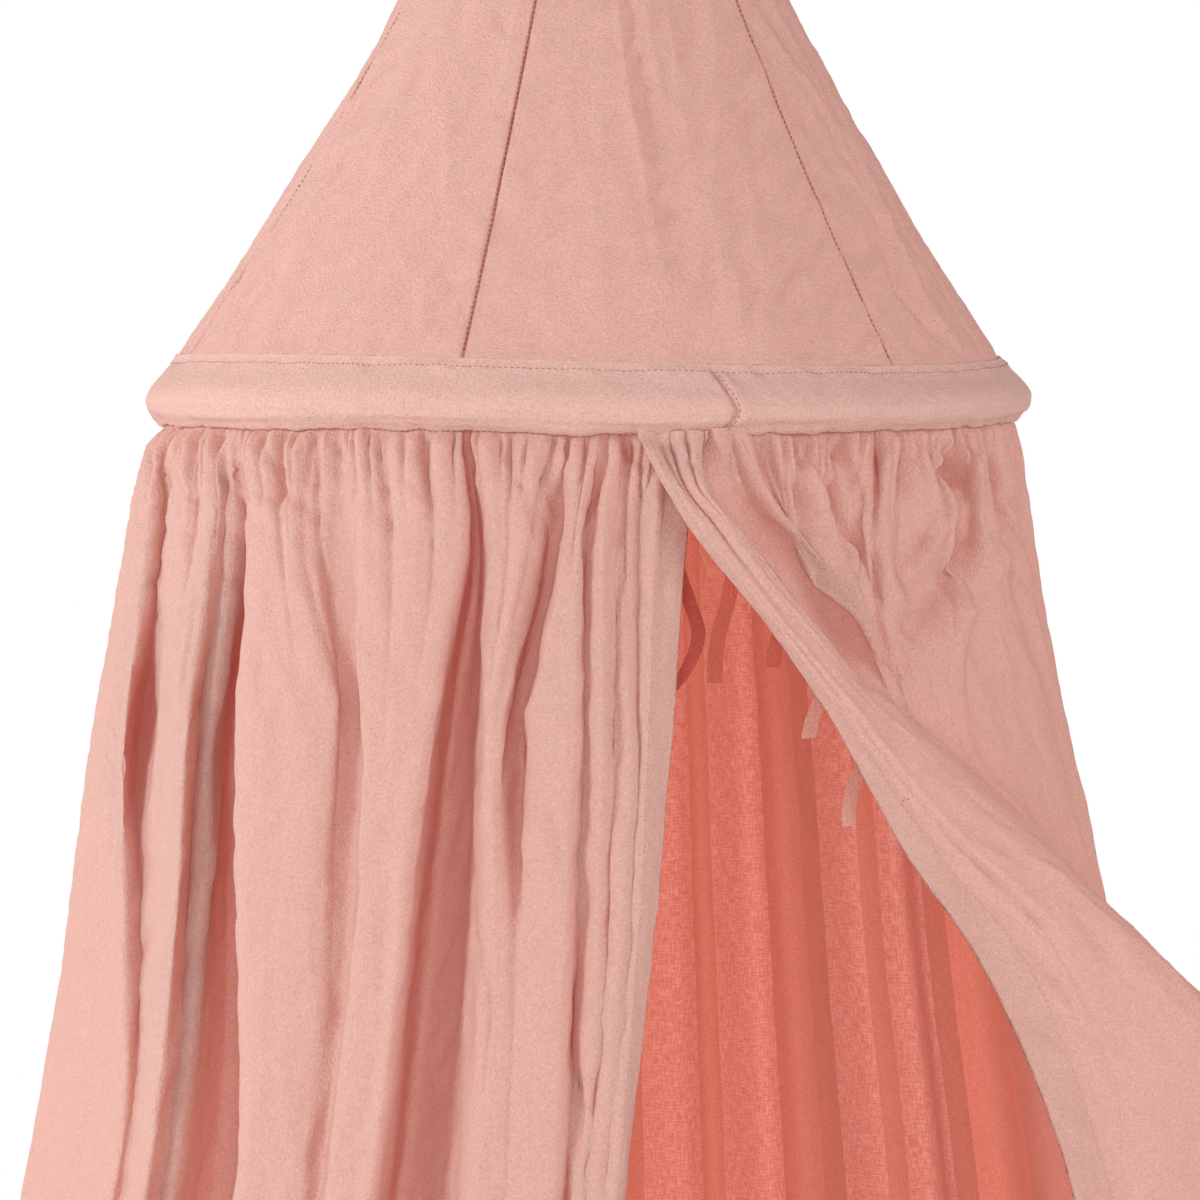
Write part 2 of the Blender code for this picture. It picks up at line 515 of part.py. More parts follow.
def make_hanging_loop(material):
    """A tape folded into an eye, with both ends sewn together into a tail inside the dome's tip."""
    half_wide, crown = LOOP_EYE_WIDE / 2, 6
    eye = [(0, -LOOP_EYE_HIGH), (half_wide * 0.5, -LOOP_EYE_HIGH * 0.8)]
    for k in range(crown + 1):
        turn = math.pi * k / crown
        eye.append((half_wide * math.cos(turn), -half_wide + half_wide * math.sin(turn)))
    eye.append((-half_wide * 0.5, -LOOP_EYE_HIGH * 0.8))
    outside = []
    for k, (x, z) in enumerate(eye):
        before, after = np.array(eye[k - 1]), np.array(eye[(k + 1) % len(eye)])
        along = (after - before) / np.linalg.norm(after - before)
        outside.append((x + along[1] * LOOP_TAPE_THICK, z - along[0] * LOOP_TAPE_THICK))
    foot = -LOOP_EYE_HIGH - LOOP_TAIL_LONG
    tail = [(-LOOP_TAPE_THICK, foot), (LOOP_TAPE_THICK, foot)]
    shoulder = [(LOOP_TAPE_THICK, -LOOP_EYE_HIGH - LOOP_TAPE_THICK)]
    other_shoulder = [(-LOOP_TAPE_THICK, -LOOP_EYE_HIGH - LOOP_TAPE_THICK)]
    rim = shoulder + outside[1:] + other_shoulder
    points, faces = [], []
    for y in (-LOOP_TAPE_WIDE / 2, LOOP_TAPE_WIDE / 2):
        points += [(x, y, z) for x, z in eye + rim + tail]
    eyes, rims, layer = len(eye), len(rim), len(eye) + len(rim) + len(tail)
    for base in (0, layer):
        first_rim, left_foot = base + eyes, base + eyes + rims
        for k in range(1, eyes - 1):
            faces.append((base + k, base + k + 1, first_rim + k + 1, first_rim + k))
        faces.append((base, base + 1, first_rim + 1, first_rim))
        faces.append((base + eyes - 1, base, first_rim + rims - 1, first_rim + rims - 2))
        faces.append((base, first_rim, left_foot + 1, left_foot, first_rim + rims - 1))
    loops = ([*range(eyes)], [*range(eyes, layer)])
    for loop in loops:
        for here, there in zip(loop, loop[1:] + loop[:1]):
            faces.append((here, there, layer + there, layer + here))
    new_object("hanging_loop", points, faces, material, aside=0)


def main():
    for obj in list(bpy.data.objects):
        bpy.data.objects.remove(obj)
    make_hanging_loop(cloth_material("tape_cotton", (0.72, 0.36, 0.29)))
    make_dome(cloth_material("dome_cotton", (0.80, 0.47, 0.40)))
    make_casing(cloth_material("casing_cotton", (0.80, 0.46, 0.39)))
    make_hoop(cloth_material("hoop_plastic", (0.85, 0.84, 0.80), roughness=0.45))
    make_skirt(cloth_material("skirt_cotton", (0.80, 0.45, 0.38)))
    ribbon = cloth_material("ribbon_cotton", (0.74, 0.36, 0.29))
    for tie in TIES:
        make_tie(tie, ribbon)


main()
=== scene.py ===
"""Looks of the bed canopy: its cloth with folds, creases and stitching, the light and the camera."""

import json
import math
from collections import namedtuple

import bpy
import numpy as np
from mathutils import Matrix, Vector, noise

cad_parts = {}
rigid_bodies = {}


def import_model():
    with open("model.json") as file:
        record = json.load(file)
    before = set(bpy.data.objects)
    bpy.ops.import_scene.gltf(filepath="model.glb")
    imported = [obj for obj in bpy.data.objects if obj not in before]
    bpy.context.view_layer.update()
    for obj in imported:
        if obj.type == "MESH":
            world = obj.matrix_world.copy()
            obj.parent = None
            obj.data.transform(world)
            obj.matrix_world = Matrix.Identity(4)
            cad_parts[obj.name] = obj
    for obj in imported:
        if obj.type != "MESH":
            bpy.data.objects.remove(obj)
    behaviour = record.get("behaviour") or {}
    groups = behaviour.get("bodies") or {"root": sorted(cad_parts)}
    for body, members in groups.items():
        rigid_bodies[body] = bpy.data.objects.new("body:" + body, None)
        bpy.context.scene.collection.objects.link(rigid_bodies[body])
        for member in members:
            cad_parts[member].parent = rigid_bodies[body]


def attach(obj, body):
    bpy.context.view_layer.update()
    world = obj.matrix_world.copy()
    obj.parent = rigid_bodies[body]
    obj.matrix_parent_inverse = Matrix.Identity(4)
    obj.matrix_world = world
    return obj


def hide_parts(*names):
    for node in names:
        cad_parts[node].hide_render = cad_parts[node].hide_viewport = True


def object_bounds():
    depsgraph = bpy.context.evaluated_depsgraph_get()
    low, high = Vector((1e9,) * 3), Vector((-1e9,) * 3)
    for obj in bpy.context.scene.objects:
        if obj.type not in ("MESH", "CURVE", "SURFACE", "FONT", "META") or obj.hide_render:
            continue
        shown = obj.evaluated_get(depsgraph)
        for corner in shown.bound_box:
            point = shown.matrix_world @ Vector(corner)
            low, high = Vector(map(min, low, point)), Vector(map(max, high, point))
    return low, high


for startup in list(bpy.data.objects):
    bpy.data.objects.remove(startup)
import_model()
CAD_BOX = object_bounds()

CLOTH = 0.0012  # thickness of one layer of cloth
EDGE_SET = 0.0006  # how far an edge stands off the casing that it is sewn to

LOOP_EYE_HIGH = 0.030
LOOP_EYE_WIDE = 0.016
LOOP_TAPE_WIDE = 0.012
LOOP_TAPE_THICK = 0.0015
LOOP_TAIL_LONG = 0.022

TIP_Z = -0.035  # top edge of the dome
TIP_RADIUS = 0.007
DOME_HIGH = 0.420
DOME_RADIUS = 0.2326
DOME_HOLLOW = 0.26  # how far the dome's side dips below a straight cone
GORE_SEAMS_DEG = (-70, -16, 44, 104, 164, 226)

# The band is sewn a little unevenly: its height in mm at these bearings.
CASING_HIGH_DEG = (-180, -90, -50, -20, 8, 24, 60, 90, 180)
CASING_HIGH_MM = (37, 39, 39, 36.4, 36.4, 33.6, 33, 33.6, 37)
HOOP_SWAY = 0.003  # the light hoop is a little out of flat
HOOP_ASIDE = -0.008  # the drawn flap holds the hoop this far to the left of the loop
CASING_JOIN_DEG = 15.5

DOME_SEAM_Z = TIP_Z - DOME_HIGH
SKIRT_LONG = 1.11
SIDE_SEAM_DEG = 122

RIBBON_WIDE = 0.008
RIBBON_THICK = 0.001

CM = 0.01
MM = 0.001

# Depths below the casing at which the skirt's folds are given.
SEAM, YOKE, UPPER, MIDDLE, LOWER, HEM = 0.0, 0.05, 0.15, 0.26, 0.38, SKIRT_LONG
FOLD_DEPTHS = (SEAM, YOKE, UPPER, MIDDLE, LOWER, HEM)

# The skirt's outer shape: its radius at each depth, and how much more it bulges at the left.
Outline = namedtuple("Outline", "depth radius left_bulge")
OUTLINE = (
    Outline(0, 0.24, 0),
    Outline(0.012, 0.2472, 0.0038),
    Outline(0.035, 0.253, 0.0046),
    Outline(0.05, 0.256, 0.005),
    Outline(0.1, 0.2645, 0.005),
    Outline(0.15, 0.2738, 0.005),
    Outline(0.2, 0.2838, 0.003),
    Outline(0.26, 0.2945, 0.0006),
    Outline(0.32, 0.3035, 0),
    Outline(0.38, 0.314, 0),
    Outline(0.44, 0.326, 0),
    Outline(HEM, 0.44, 0),
)

# A fold's line runs from the casing to the hem. Its bearing is in degrees from the front, and its inset in
# mm is how far it lies inside the skirt's outer shape: about 0 on a ridge, more in a valley.
Fold = namedtuple(
    "Fold",
    "name bearing_seam bearing_yoke bearing_upper bearing_middle bearing_lower bearing_hem "
    "inset_seam inset_yoke inset_upper inset_middle inset_lower inset_hem",
)

LEFT_FOLDS = (
    Fold("front_edge", 13.7, 12, 9.5, 6.6, 3.4, -6, 3.5, 9, 11, 12, 13, 14),
    Fold("hem_line", 9.1, 8, 6.6, 4.8, 2.4, -8.4, 3.5, 5, 5, 5, 5, 6),
    Fold("hem_shadow", 7.9, 6.6, 5.8, 4.1, 1.6, -10.2, 3.5, 15, 15, 9, 7, 10),
    Fold("edge_ridge", 6.1, 4.7, 4.6, 3, 0.7, -11.8, 2, 7, 7, 5, 4, 2),
    Fold("edge_dip", 4.4, 3.3, 2.8, 2, -0.2, -13.6, 2.5, 10, 10, 8, 7, 13),
    Fold("centre_ridge", 3, 1.7, 1.5, 0.8, -0.9, -15.6, 0.5, 2, 2, 3, 3, 2),
    Fold("centre_crease", 2, 0.1, -0.2, -1, -1.9, -17.8, 2.5, 14, 15, 16, 15, 22),
    Fold("wide_ridge", 0.9, -0.8, -1.2, -2.1, -3, -20.5, 0.5, 0, 0, 0, 0, 0),
    Fold("wide_edge", -0.6, -2.4, -6.1, -6.3, -6.8, -23.5, 0.5, 3, 3, 1, 0, 3),
    Fold("y_valley", -2, -3.5, -7.3, -7, -7.5, -25.5, 3, 18, 24, 4, 2, 22),
    Fold("y_ridge", -4.2, -5.9, -9, -8.2, -8.8, -28, 0, 4, 4, 1, 1, 4),
    Fold("second_ridge", -8.2, -8.2, -10.4, -9.4, -10.3, -31, 1, 0, 0, 0, 0, 0),
    Fold("second_side", -12.4, -11.2, -11.6, -11.1, -12.2, -32.8, 0.5, 6, 7, 8, 9, 10),
    Fold("deep_floor", -14, -13, -14.2, -14.6, -15.6, -34.6, 3, 18, 34, 38, 36, 34),
    Fold("deep_valley", -14.9, -14.4, -18, -19.6, -21.2, -36.2, 4, 26, 46, 50, 50, 44),
    Fold("third_edge", -15.9, -14.9, -17, -18.3, -19.7, -38, 0.5, 5, 3, 2, 2, 2),
    Fold("third_ridge", -21.5, -19.3, -20.6, -20.5, -22, -41.5, 0, 0, 0, 0, 0, 0),
    Fold("third_side", -29.9, -27.9, -24.9, -23.1, -24.3, -43.5, 0.5, 3, 3, 2, 2, 3),
    Fold("soft_valley", -32.3, -30.9, -27.2, -25.6, -26.4, -45, 2.5, 11, 15, 13, 10, 24),
    Fold("fourth_side", -37.1, -35.3, -28.4, -27.9, -27.8, -46.5, 0.5, 4, 4, 4, 3, 5),
    Fold("fourth_ridge", -43.1, -39.7, -34.2, -32.1, -30.6, -48.5, 0, 0, 0, 0, 0, 0),
    Fold("fourth_edge", -49, -44.2, -42.1, -38.5, -35.3, -51, 0.5, 4, 3, 3, 3, 4),
    Fold("tuck_valley", -50, -47.6, -50, -46, -42, -51, 3.5, 18, 48, 54, 56, 44),
    Fold("tuck_floor", -50.6, -49, -55, -52, -48.5, -53.5, 2.5, 20, 44, 50, 52, 40),
    Fold("thin_ridge", -51.2, -49.5, -49.2, -47.2, -46.2, -56, 1, 12, 15, 17, 18, 12),
    Fold("thin_valley", -52.4, -51.4, -53, -50.5, -47.6, -58, 2.5, 16, 22, 23, 15, 18),
    Fold("main_ridge", -54, -50, -49.1, -46.7, -46.5, -61.5, 0, 3, 0, 0, 0, 0),
    Fold("main_edge", -56.5, -53, -53.3, -50.3, -49.7, -64.5, 1.5, 5, 2, 2, 2, 3),
    Fold("side_slope", -61.5, -57, -59.8, -54.4, -51.4, -66, 0.5, 2, 14, 11, 7, 14),
    Fold("side_valley", -68.5, -67.9, -74.1, -59.5, -52.9, -68, 3, 13, 26, 18, 8, 26),
    Fold("side_edge", -72.5, -66.6, -63.9, -57.6, -53.6, -71, 0.5, 2, 1, 2, 4, 3),
    Fold("side_dip", -76.5, -69.8, -66.6, -62.2, -59.8, -75, 2, 4, 3, 4, 4, 16),
    Fold("side_ridge", -80.5, -73.2, -69.6, -67.1, -67.6, -79.5, 0, 0, 0, 0, 0, 0),
    Fold("flank_dip", -85, -80, -78, -77, -78, -84, 2.5, 6, 8, 9, 10, 24),
    Fold("flank_ridge", -90, -88, -87, -86, -86, -89, 0, 0, 0, 0, 0, 0),
    Fold("rear_dip", -96, -95, -94, -93, -93, -94, 3, 11, 15, 17, 20, 30),
    Fold("rear_ridge", -103, -102, -101.5, -101, -100.5, -101, 0, 0, 0, 0, 0, 0),
    Fold("last_dip", -110, -109, -109, -108.5, -108, -108, 3, 12, 17, 20, 24, 32),
    Fold("last_ridge", -116, -116, -116, -116, -116, -116, 0, 0, 0, 0, 0, 0),
    Fold("side_seam", -122, -122, -122, -122, -122, -122, 1.5, 5, 7, 8, 9, 12),
)

RIGHT_FOLDS = (
    Fold("narrow_valley", 37.2, 34.6, 39.6, 57, 66, 79, 3, 11, 1, 4, 8, 22),
    Fold("narrow_ridge", 40.4, 37.6, 41.8, 60, 68.5, 81, 0, 0, 1, 0, 0, 0),
    Fold("slant_dip", 46.1, 44.5, 44, 63.5, 71, 82, 3, 8, 2, 6, 10, 30),
    Fold("slant_ridge", 50.7, 50.8, 46.6, 67, 74.5, 84.5, 0, 0, 0, 0, 0, 0),
    Fold("slant_valley", 55.5, 53.9, 52, 70.5, 77.5, 87, 3, 10, 5, 9, 15, 34),
    Fold("shoulder_ridge", 60, 57.5, 66, 74, 81, 89.5, 0, 0, 0, 0, 0, 0),
    Fold("shoulder_dip", 67, 65.5, 73, 78, 84.5, 92.5, 3, 9, 4, 10, 18, 36),
    Fold("side_ridge", 73.5, 72.5, 78.5, 82, 88, 96, 0, 0, 0, 0, 0, 0),
    Fold("side_valley", 80, 79.5, 83, 86.5, 92, 99.5, 3, 12, 9, 14, 22, 38),
    Fold("flank_ridge", 87, 87, 88, 91.5, 97, 104, 0, 0, 0, 0, 0, 0),
    Fold("flank_dip", 95, 95, 95, 97.5, 102, 108.5, 3, 13, 16, 20, 26, 36),
    Fold("rear_ridge", 103, 103, 103, 104, 107, 113, 0, 0, 0, 0, 0, 0),
    Fold("rear_dip", 112, 112, 111.5, 112, 113.5, 117.5, 3, 13, 17, 20, 24, 30),
    Fold("side_seam", 122, 122, 122, 122, 122, 122, 1.5, 5, 7, 8, 9, 12),
)

# The flap is drawn aside to a hold at the right. Its lines are given in cm: across to the right, out to the
# front, and down from the casing, at distances along the cloth.
FLAP_RUNS_CM = (0, 2.5, 5, 11, 17, 25, 34, 46, 58, 111)
FlapLine = namedtuple("FlapLine", "name seam gather yoke throat waist sweep reach fall hold hem")

FLAP_LINES = (
    FlapLine(
        "free_edge",
        (2.6, 24.3, 0), (3.8, 25, 2.1), (5, 25.3, 4.2), (8.7, 25.7, 9), (12.1, 25.7, 13.9),
        (16, 25.2, 20.8), (20.9, 24.2, 28.4), (25.2, 23.3, 39.4), (27.4, 23.2, 51), (28.6, 24.5, 103.5),
    ),
    FlapLine(
        "hem_line",
        (3.6, 24.3, 0), (4.6, 25.3, 2.1), (5.8, 25.8, 4.1), (9.4, 26.2, 9), (13.1, 26.3, 13.6),
        (17.9, 26.1, 19.8), (24, 25.4, 26.4), (28.2, 24.7, 37.5), (30.8, 25.4, 49), (32.6, 27.4, 101.5),
    ),
    FlapLine(
        "face",
        (4.9, 24.3, 0), (5.4, 25.2, 2.2), (6.9, 25.8, 4.2), (10.6, 26, 9), (14.4, 25.7, 13.3),
        (19.6, 25.2, 18.8), (26.2, 24.6, 25.2), (32.2, 23.6, 35.2), (35.4, 21.2, 46), (36, 19.2, 98.5),
    ),
    FlapLine(
        "under_ridge",
        (5.5, 24.3, 0), (5.9, 25.1, 2.3), (7.4, 25.6, 4.4), (11.2, 25.6, 9.1), (15, 25, 13.3),
        (20.6, 24.4, 18.8), (27.2, 23.9, 24.9), (34.4, 23, 33.8), (39.8, 21.8, 43.2), (40.6, 24.6, 96.5),
    ),
    FlapLine(
        "ridge",
        (6.1, 24.3, 0), (6.3, 24.9, 2.4), (7.9, 25.3, 4.6), (11.8, 25, 9.1), (15.5, 24.1, 13.2),
        (21.3, 23.2, 18.9), (27.8, 22.8, 25), (36, 21.8, 33.4), (43.6, 19.6, 41.8), (45, 20, 95),
    ),
    FlapLine(
        "ridge_back",
        (7, 23.9, 0), (7.6, 23, 2.5), (8.9, 22.6, 4.8), (12.6, 22, 9.4), (16, 22.5, 13.7),
        (22.1, 20.6, 19.4), (27.9, 20, 25.8), (35.2, 18.9, 34.4), (42, 17, 42.8), (43.8, 15.6, 95.5),
    ),
    FlapLine(
        "body_ridge",
        (10.2, 21.8, 0), (10.5, 22.6, 2.5), (11.1, 23.1, 5), (14.2, 22.2, 10), (16.4, 21.9, 14.4),
        (22.4, 18.6, 22), (27.4, 16.8, 30.2), (33.6, 15.4, 40.2), (39.6, 13.8, 50), (43.4, 11.9, 101),
    ),
)

# The back hangs in pressed folds that lap over a little, as they show through the opening.
BACK_FOLDS = 9
BACK_INSET_MM = (3, 14, 18, 22, 24, 30)
BACK_LAP_DEG = 2.6
BACK_UNEVEN_DEG = (0.8, -1.4, 1.1, -0.6, 1.6, -1.2, 0.4, 1.3, -0.9)


def bearing_to_xy(degrees, radius):
    """The place at this bearing, in degrees from the front and on to the right, seen from above."""
    angle = np.radians(degrees)
    return radius * np.sin(angle), -radius * np.cos(angle)


def hoop_sway(degrees):
    """How far the hoop, and what is sewn to it, stands above flat at this bearing."""
    return -HOOP_SWAY * np.sin(2 * np.radians(degrees))


def casing_high(degrees):
    """The band's height at this bearing."""
    turned = (np.asarray(degrees) + 180) % 360 - 180
    return through(CASING_HIGH_DEG, CASING_HIGH_MM, turned) * MM


def skirt_top(degrees):
    """Height of the skirt's upper edge at this bearing."""
    return DOME_SEAM_Z - casing_high(degrees) - EDGE_SET + hoop_sway(degrees)


def hermite(start, start_slope, end, end_slope, t):
    """The smooth curve from start to end with these slopes, at t from 0 to 1."""
    return (
        start * (1 + 2 * t) * (1 - t) ** 2
        + start_slope * t * (1 - t) ** 2
        + end * t * t * (3 - 2 * t)
        + end_slope * t * t * (t - 1)
    )


def through(stations, values, wanted):
    """A smooth curve through the values that never overshoots them."""
    stations, values = np.asarray(stations, float), np.asarray(values, float)
    steps = np.diff(stations)
    slopes = np.diff(values) / steps
    tangents = np.concatenate([slopes[:1], np.zeros(len(slopes) - 1), slopes[-1:]])
    same = slopes[:-1] * slopes[1:] > 0
    before, after = slopes[:-1][same], slopes[1:][same]
    w_before, w_after = (2 * steps[1:] + steps[:-1])[same], (steps[1:] + 2 * steps[:-1])[same]
    tangents[1:-1][same] = (w_before + w_after) / (w_before / before + w_after / after)
    wanted = np.asarray(wanted, float)
    k = np.clip(np.searchsorted(stations, wanted, side="right") - 1, 0, len(steps) - 1)
    t = (wanted - stations[k]) / steps[k]
    return hermite(values[k], tangents[k] * steps[k], values[k + 1], tangents[k + 1] * steps[k], t)


def fold_line(fold, depths):
    """Points of one hanging fold at these depths below the casing."""
    bearing = through(FOLD_DEPTHS, fold[1:7], depths)
    inset = through(FOLD_DEPTHS, fold[7:13], depths) * MM
    stations, radii, bulges = zip(*OUTLINE)
    side = np.sin(np.radians(bearing))
    radius = through(stations, radii, depths) - side * abs(side) * through(stations, bulges, depths) - inset
    x, y = bearing_to_xy(bearing, radius)
    return np.stack([x, y, skirt_top(bearing) - np.asarray(depths)], axis=1)


def flap_line(line, runs):
    """Points of one of the flap's lines at these distances along the cloth."""
    across, out, down = (
        through(np.array(FLAP_RUNS_CM) * CM, [station[axis] * CM for station in line[1:]], runs)
        for axis in range(3)
    )
    bearing = np.degrees(np.arctan2(across, out))
    return np.stack([across, -out, skirt_top(bearing) - down], axis=1)


def back_folds():
    """The back's folds, from the right side seam to the left: a ridge, then a valley lapped behind it."""
    first, last = SIDE_SEAM_DEG, 360 - SIDE_SEAM_DEG
    pitch = (last - first) / BACK_FOLDS
    folds = [Fold("right_seam", *[first] * 6, 1.5, 5, 7, 8, 9, 12)]
    for k in range(BACK_FOLDS):
        ridge = first + (k + 0.42) * pitch + BACK_UNEVEN_DEG[k]
        folds.append(Fold(f"ridge_{k}", *[ridge] * 6, *[0] * 6))
        if k < BACK_FOLDS - 1:
            valley = ridge + 0.5 * pitch - BACK_LAP_DEG
            folds.append(Fold(f"valley_{k}", *[valley] * 6, *BACK_INSET_MM))
    folds.append(Fold("left_seam", *[last] * 6, 1.5, 5, 7, 8, 9, 12))
    return folds


def across_lines(lines, places):
    """A grid of points that runs smoothly across the lines, at these line numbers and fractions."""
    lines, places = np.asarray(lines), np.asarray(places, float)
    slopes = np.gradient(lines, axis=0)
    k = np.minimum(places.astype(int), len(lines) - 2)
    t = (places - k)[:, None, None]
    return hermite(lines[k], slopes[k], lines[k + 1], slopes[k + 1], t)


EVEN_FINE = 24  # steps between two lines when their distance is measured
GATHER_SHARE = 1.6  # how much the gathers count beside the folds when columns are shared out
IN_FRONT_Y = 0.03


def even_places(lines, count, back_share=1.0):
    """Column places about evenly far apart, closer in the gathers, and at the front than at the back."""
    fine = np.linspace(0, len(lines) - 1, EVEN_FINE * (len(lines) - 1) + 1)
    grid = across_lines(lines, fine)
    steps = np.linalg.norm(np.diff(grid, axis=0), axis=2)
    in_gathers, in_folds = FINE_ROWS < 0.02, (FINE_ROWS > 0.03) & (FINE_ROWS < 0.4)
    apart = steps[:, in_folds].mean(axis=1) + GATHER_SHARE * steps[:, in_gathers].mean(axis=1)
    apart *= np.where(grid[1:, 0, 1] < IN_FRONT_Y, 1, back_share)
    run = np.concatenate([[0], np.cumsum(apart)])
    return np.interp(np.linspace(0, run[-1], count), run, fine)


def halved_turns(grid, axis):
    """The direction at each point that halves the turn between the steps before and after it."""
    steps = np.diff(grid, axis=axis)
    steps /= np.linalg.norm(steps, axis=2, keepdims=True)
    first, last = np.take(steps, [0], axis=axis), np.take(steps, [-1], axis=axis)
    return np.concatenate([first, steps], axis=axis) + np.concatenate([steps, last], axis=axis)


def grid_normals(grid):
    """The way out of the sheet at each point."""
    normals = np.cross(halved_turns(grid, 0), halved_turns(grid, 1))
    return normals / np.linalg.norm(normals, axis=2, keepdims=True)


def dome_radius(share):
    """The dome's radius at this share of its height above the casing."""
    return TIP_RADIUS + (DOME_RADIUS - TIP_RADIUS) * (1 - share) * (1 - DOME_HOLLOW * share)


# A tie's tail: where it is sewn, as a place between two of its panel's lines and a run down the cloth,
# then its clearance from the hem's inner face, its free length, and how far it swings to the side
# on its way down.
Tie = namedtuple("Tie", "name panel line run_cm gap_mm length_cm swings_mm")

TIES = (
    Tie("tie_a", "left", 0.5, 3.0, 0.6, 12.5, (0, 3, 9, 14, 8, -6, -16)),
    Tie("tie_b", "flap", 1.5, 6.9, 0.8, 6.9, (0, -1, -3, -6, -8, -9, -9)),
    Tie("tie_c", "flap", 1.5, 11.0, 0.7, 2.8, (0, -1, -2, -3, -4, -4, -5)),
    Tie("tie_d", "flap", 1.5, 14.8, 0.6, 3.6, (0, -2, -4, -6, -8, -9, -10)),
    Tie("tie_e", "flap", 1.5, 18.5, 0.8, 5.4, (0, -3, -6, -9, -11, -12, -12)),
)
TIE_HANGS_OFF = 0.014  # how much further in than the sewn end the free end hangs
TIE_SETTLES = 0.008
TIE_STEPS = 20  # between two of the panel's lines


def tie_route(tie):
    """The middle line of a tail, sewn end first, and the direction of its width."""
    runs = (tie.run_cm * CM, tie.run_cm * CM + CM)
    if tie.panel == "left":
        lines = [fold_line(fold, runs) for fold in LEFT_FOLDS[:3]]
    else:
        lines = [flap_line(line, runs) for line in FLAP_LINES[:4]]
    column = round(tie.line * TIE_STEPS)
    grid = across_lines(lines, np.arange(TIE_STEPS * (len(lines) - 1) + 1) / TIE_STEPS)
    inward = -grid_normals(grid)[column][0]
    inward *= np.sign(inward[1])
    width = np.cross(inward, (0, 0, 1))
    width /= np.linalg.norm(width)
    sewn = grid[column][0] + inward * (CLOTH / 2 + tie.gap_mm * MM + RIBBON_THICK / 2)
    below = np.linspace(0, tie.length_cm * CM, 1 + len(tie.swings_mm))
    off = TIE_HANGS_OFF * (1 - np.exp(-below / TIE_SETTLES))
    swing = np.array((0,) + tie.swings_mm) * MM
    route = sewn + np.outer(below, (0, 0, -1)) + np.outer(off, (0, 1, 0)) + np.outer(swing, (1, 0, 0))
    return route, width


# Rows of the fine cloth, closest near the casing where it is gathered.
FINE_ROWS = np.concatenate(
    [np.linspace(0, 0.06, 27)[:-1], np.linspace(0.06, 0.45, 84)[:-1], np.linspace(0.45, HEM, 42)]
)
HEM_GAP = 0.0011  # between a hem's two layers
SEAM_TUCK = 0.004  # how far an edge goes on inside the casing


def lumps(u, v, size_u, size_v, seed):
    """Smooth noise from -1 to 1 over the cloth, for places in metres."""
    u, v = np.broadcast_arrays(np.asarray(u, float), np.asarray(v, float))
    points = (Vector((a / size_u, b / size_v, seed)) for a, b in zip(u.ravel(), v.ravel()))
    return np.array([noise.noise(point) for point in points]).reshape(u.shape)


def widths(grid):
    """How far across the cloth each point is, in metres along its own row."""
    steps = np.linalg.norm(np.diff(grid, axis=0), axis=2)
    return np.concatenate([np.zeros((1, grid.shape[1])), np.cumsum(steps, axis=0)])


def run_along(points):
    """How far along the line each of its points is."""
    return np.concatenate([[0], np.cumsum(np.linalg.norm(np.diff(points, axis=0), axis=1))])


def shoulder(value, start, end):
    """A smooth rise from 0 at start to 1 at end."""
    t = np.clip((value - start) / (end - start), 0, 1)
    return t * t * (3 - 2 * t)


# Gathers under the casing: their pitch, height and how far down they reach, in mm.
Gather = namedtuple("Gather", "pitch high reach seed")
FINGER_SHARP = 0.45  # under 1 it rounds the fingers and sharpens the creases between them
FINGER_LEVEL = 0.75  # taken off, so that the gathers leave the cloth about where it was
GATHERS_AT = 0.012  # depth at which the cloth's width is shared out among them
GATHERS = (Gather(6.0, 1.6, 9, 3.7), Gather(12.0, 7.5, 30, 9.1), Gather(25.0, 9.5, 70, 5.3))


def gathers(across, down):
    """Height of the small gathers. Noise of its own moves each one, and its length and lean, about."""
    total = np.zeros(down.shape)
    for gather in GATHERS:
        pitch = gather.pitch * MM
        wander = lumps(across, 0, 2.3 * pitch, 1, gather.seed)[:, None]
        reach = gather.reach * MM * (1 + 0.6 * lumps(across, 0, 1.3 * pitch, 1, gather.seed + 20)[:, None])
        lean = 0.5 * lumps(across, 0, 3.1 * pitch, 1, gather.seed + 40)[:, None] * down / reach
        turns = across[:, None] / pitch + 0.5 * wander + lean
        finger = np.abs(np.cos(math.pi * turns)) ** FINGER_SHARP - FINGER_LEVEL
        total += gather.high * MM * finger * np.exp(-((down / reach) ** 1.5))
    return total * (0.45 + 0.55 * shoulder(down, 0, 0.004))


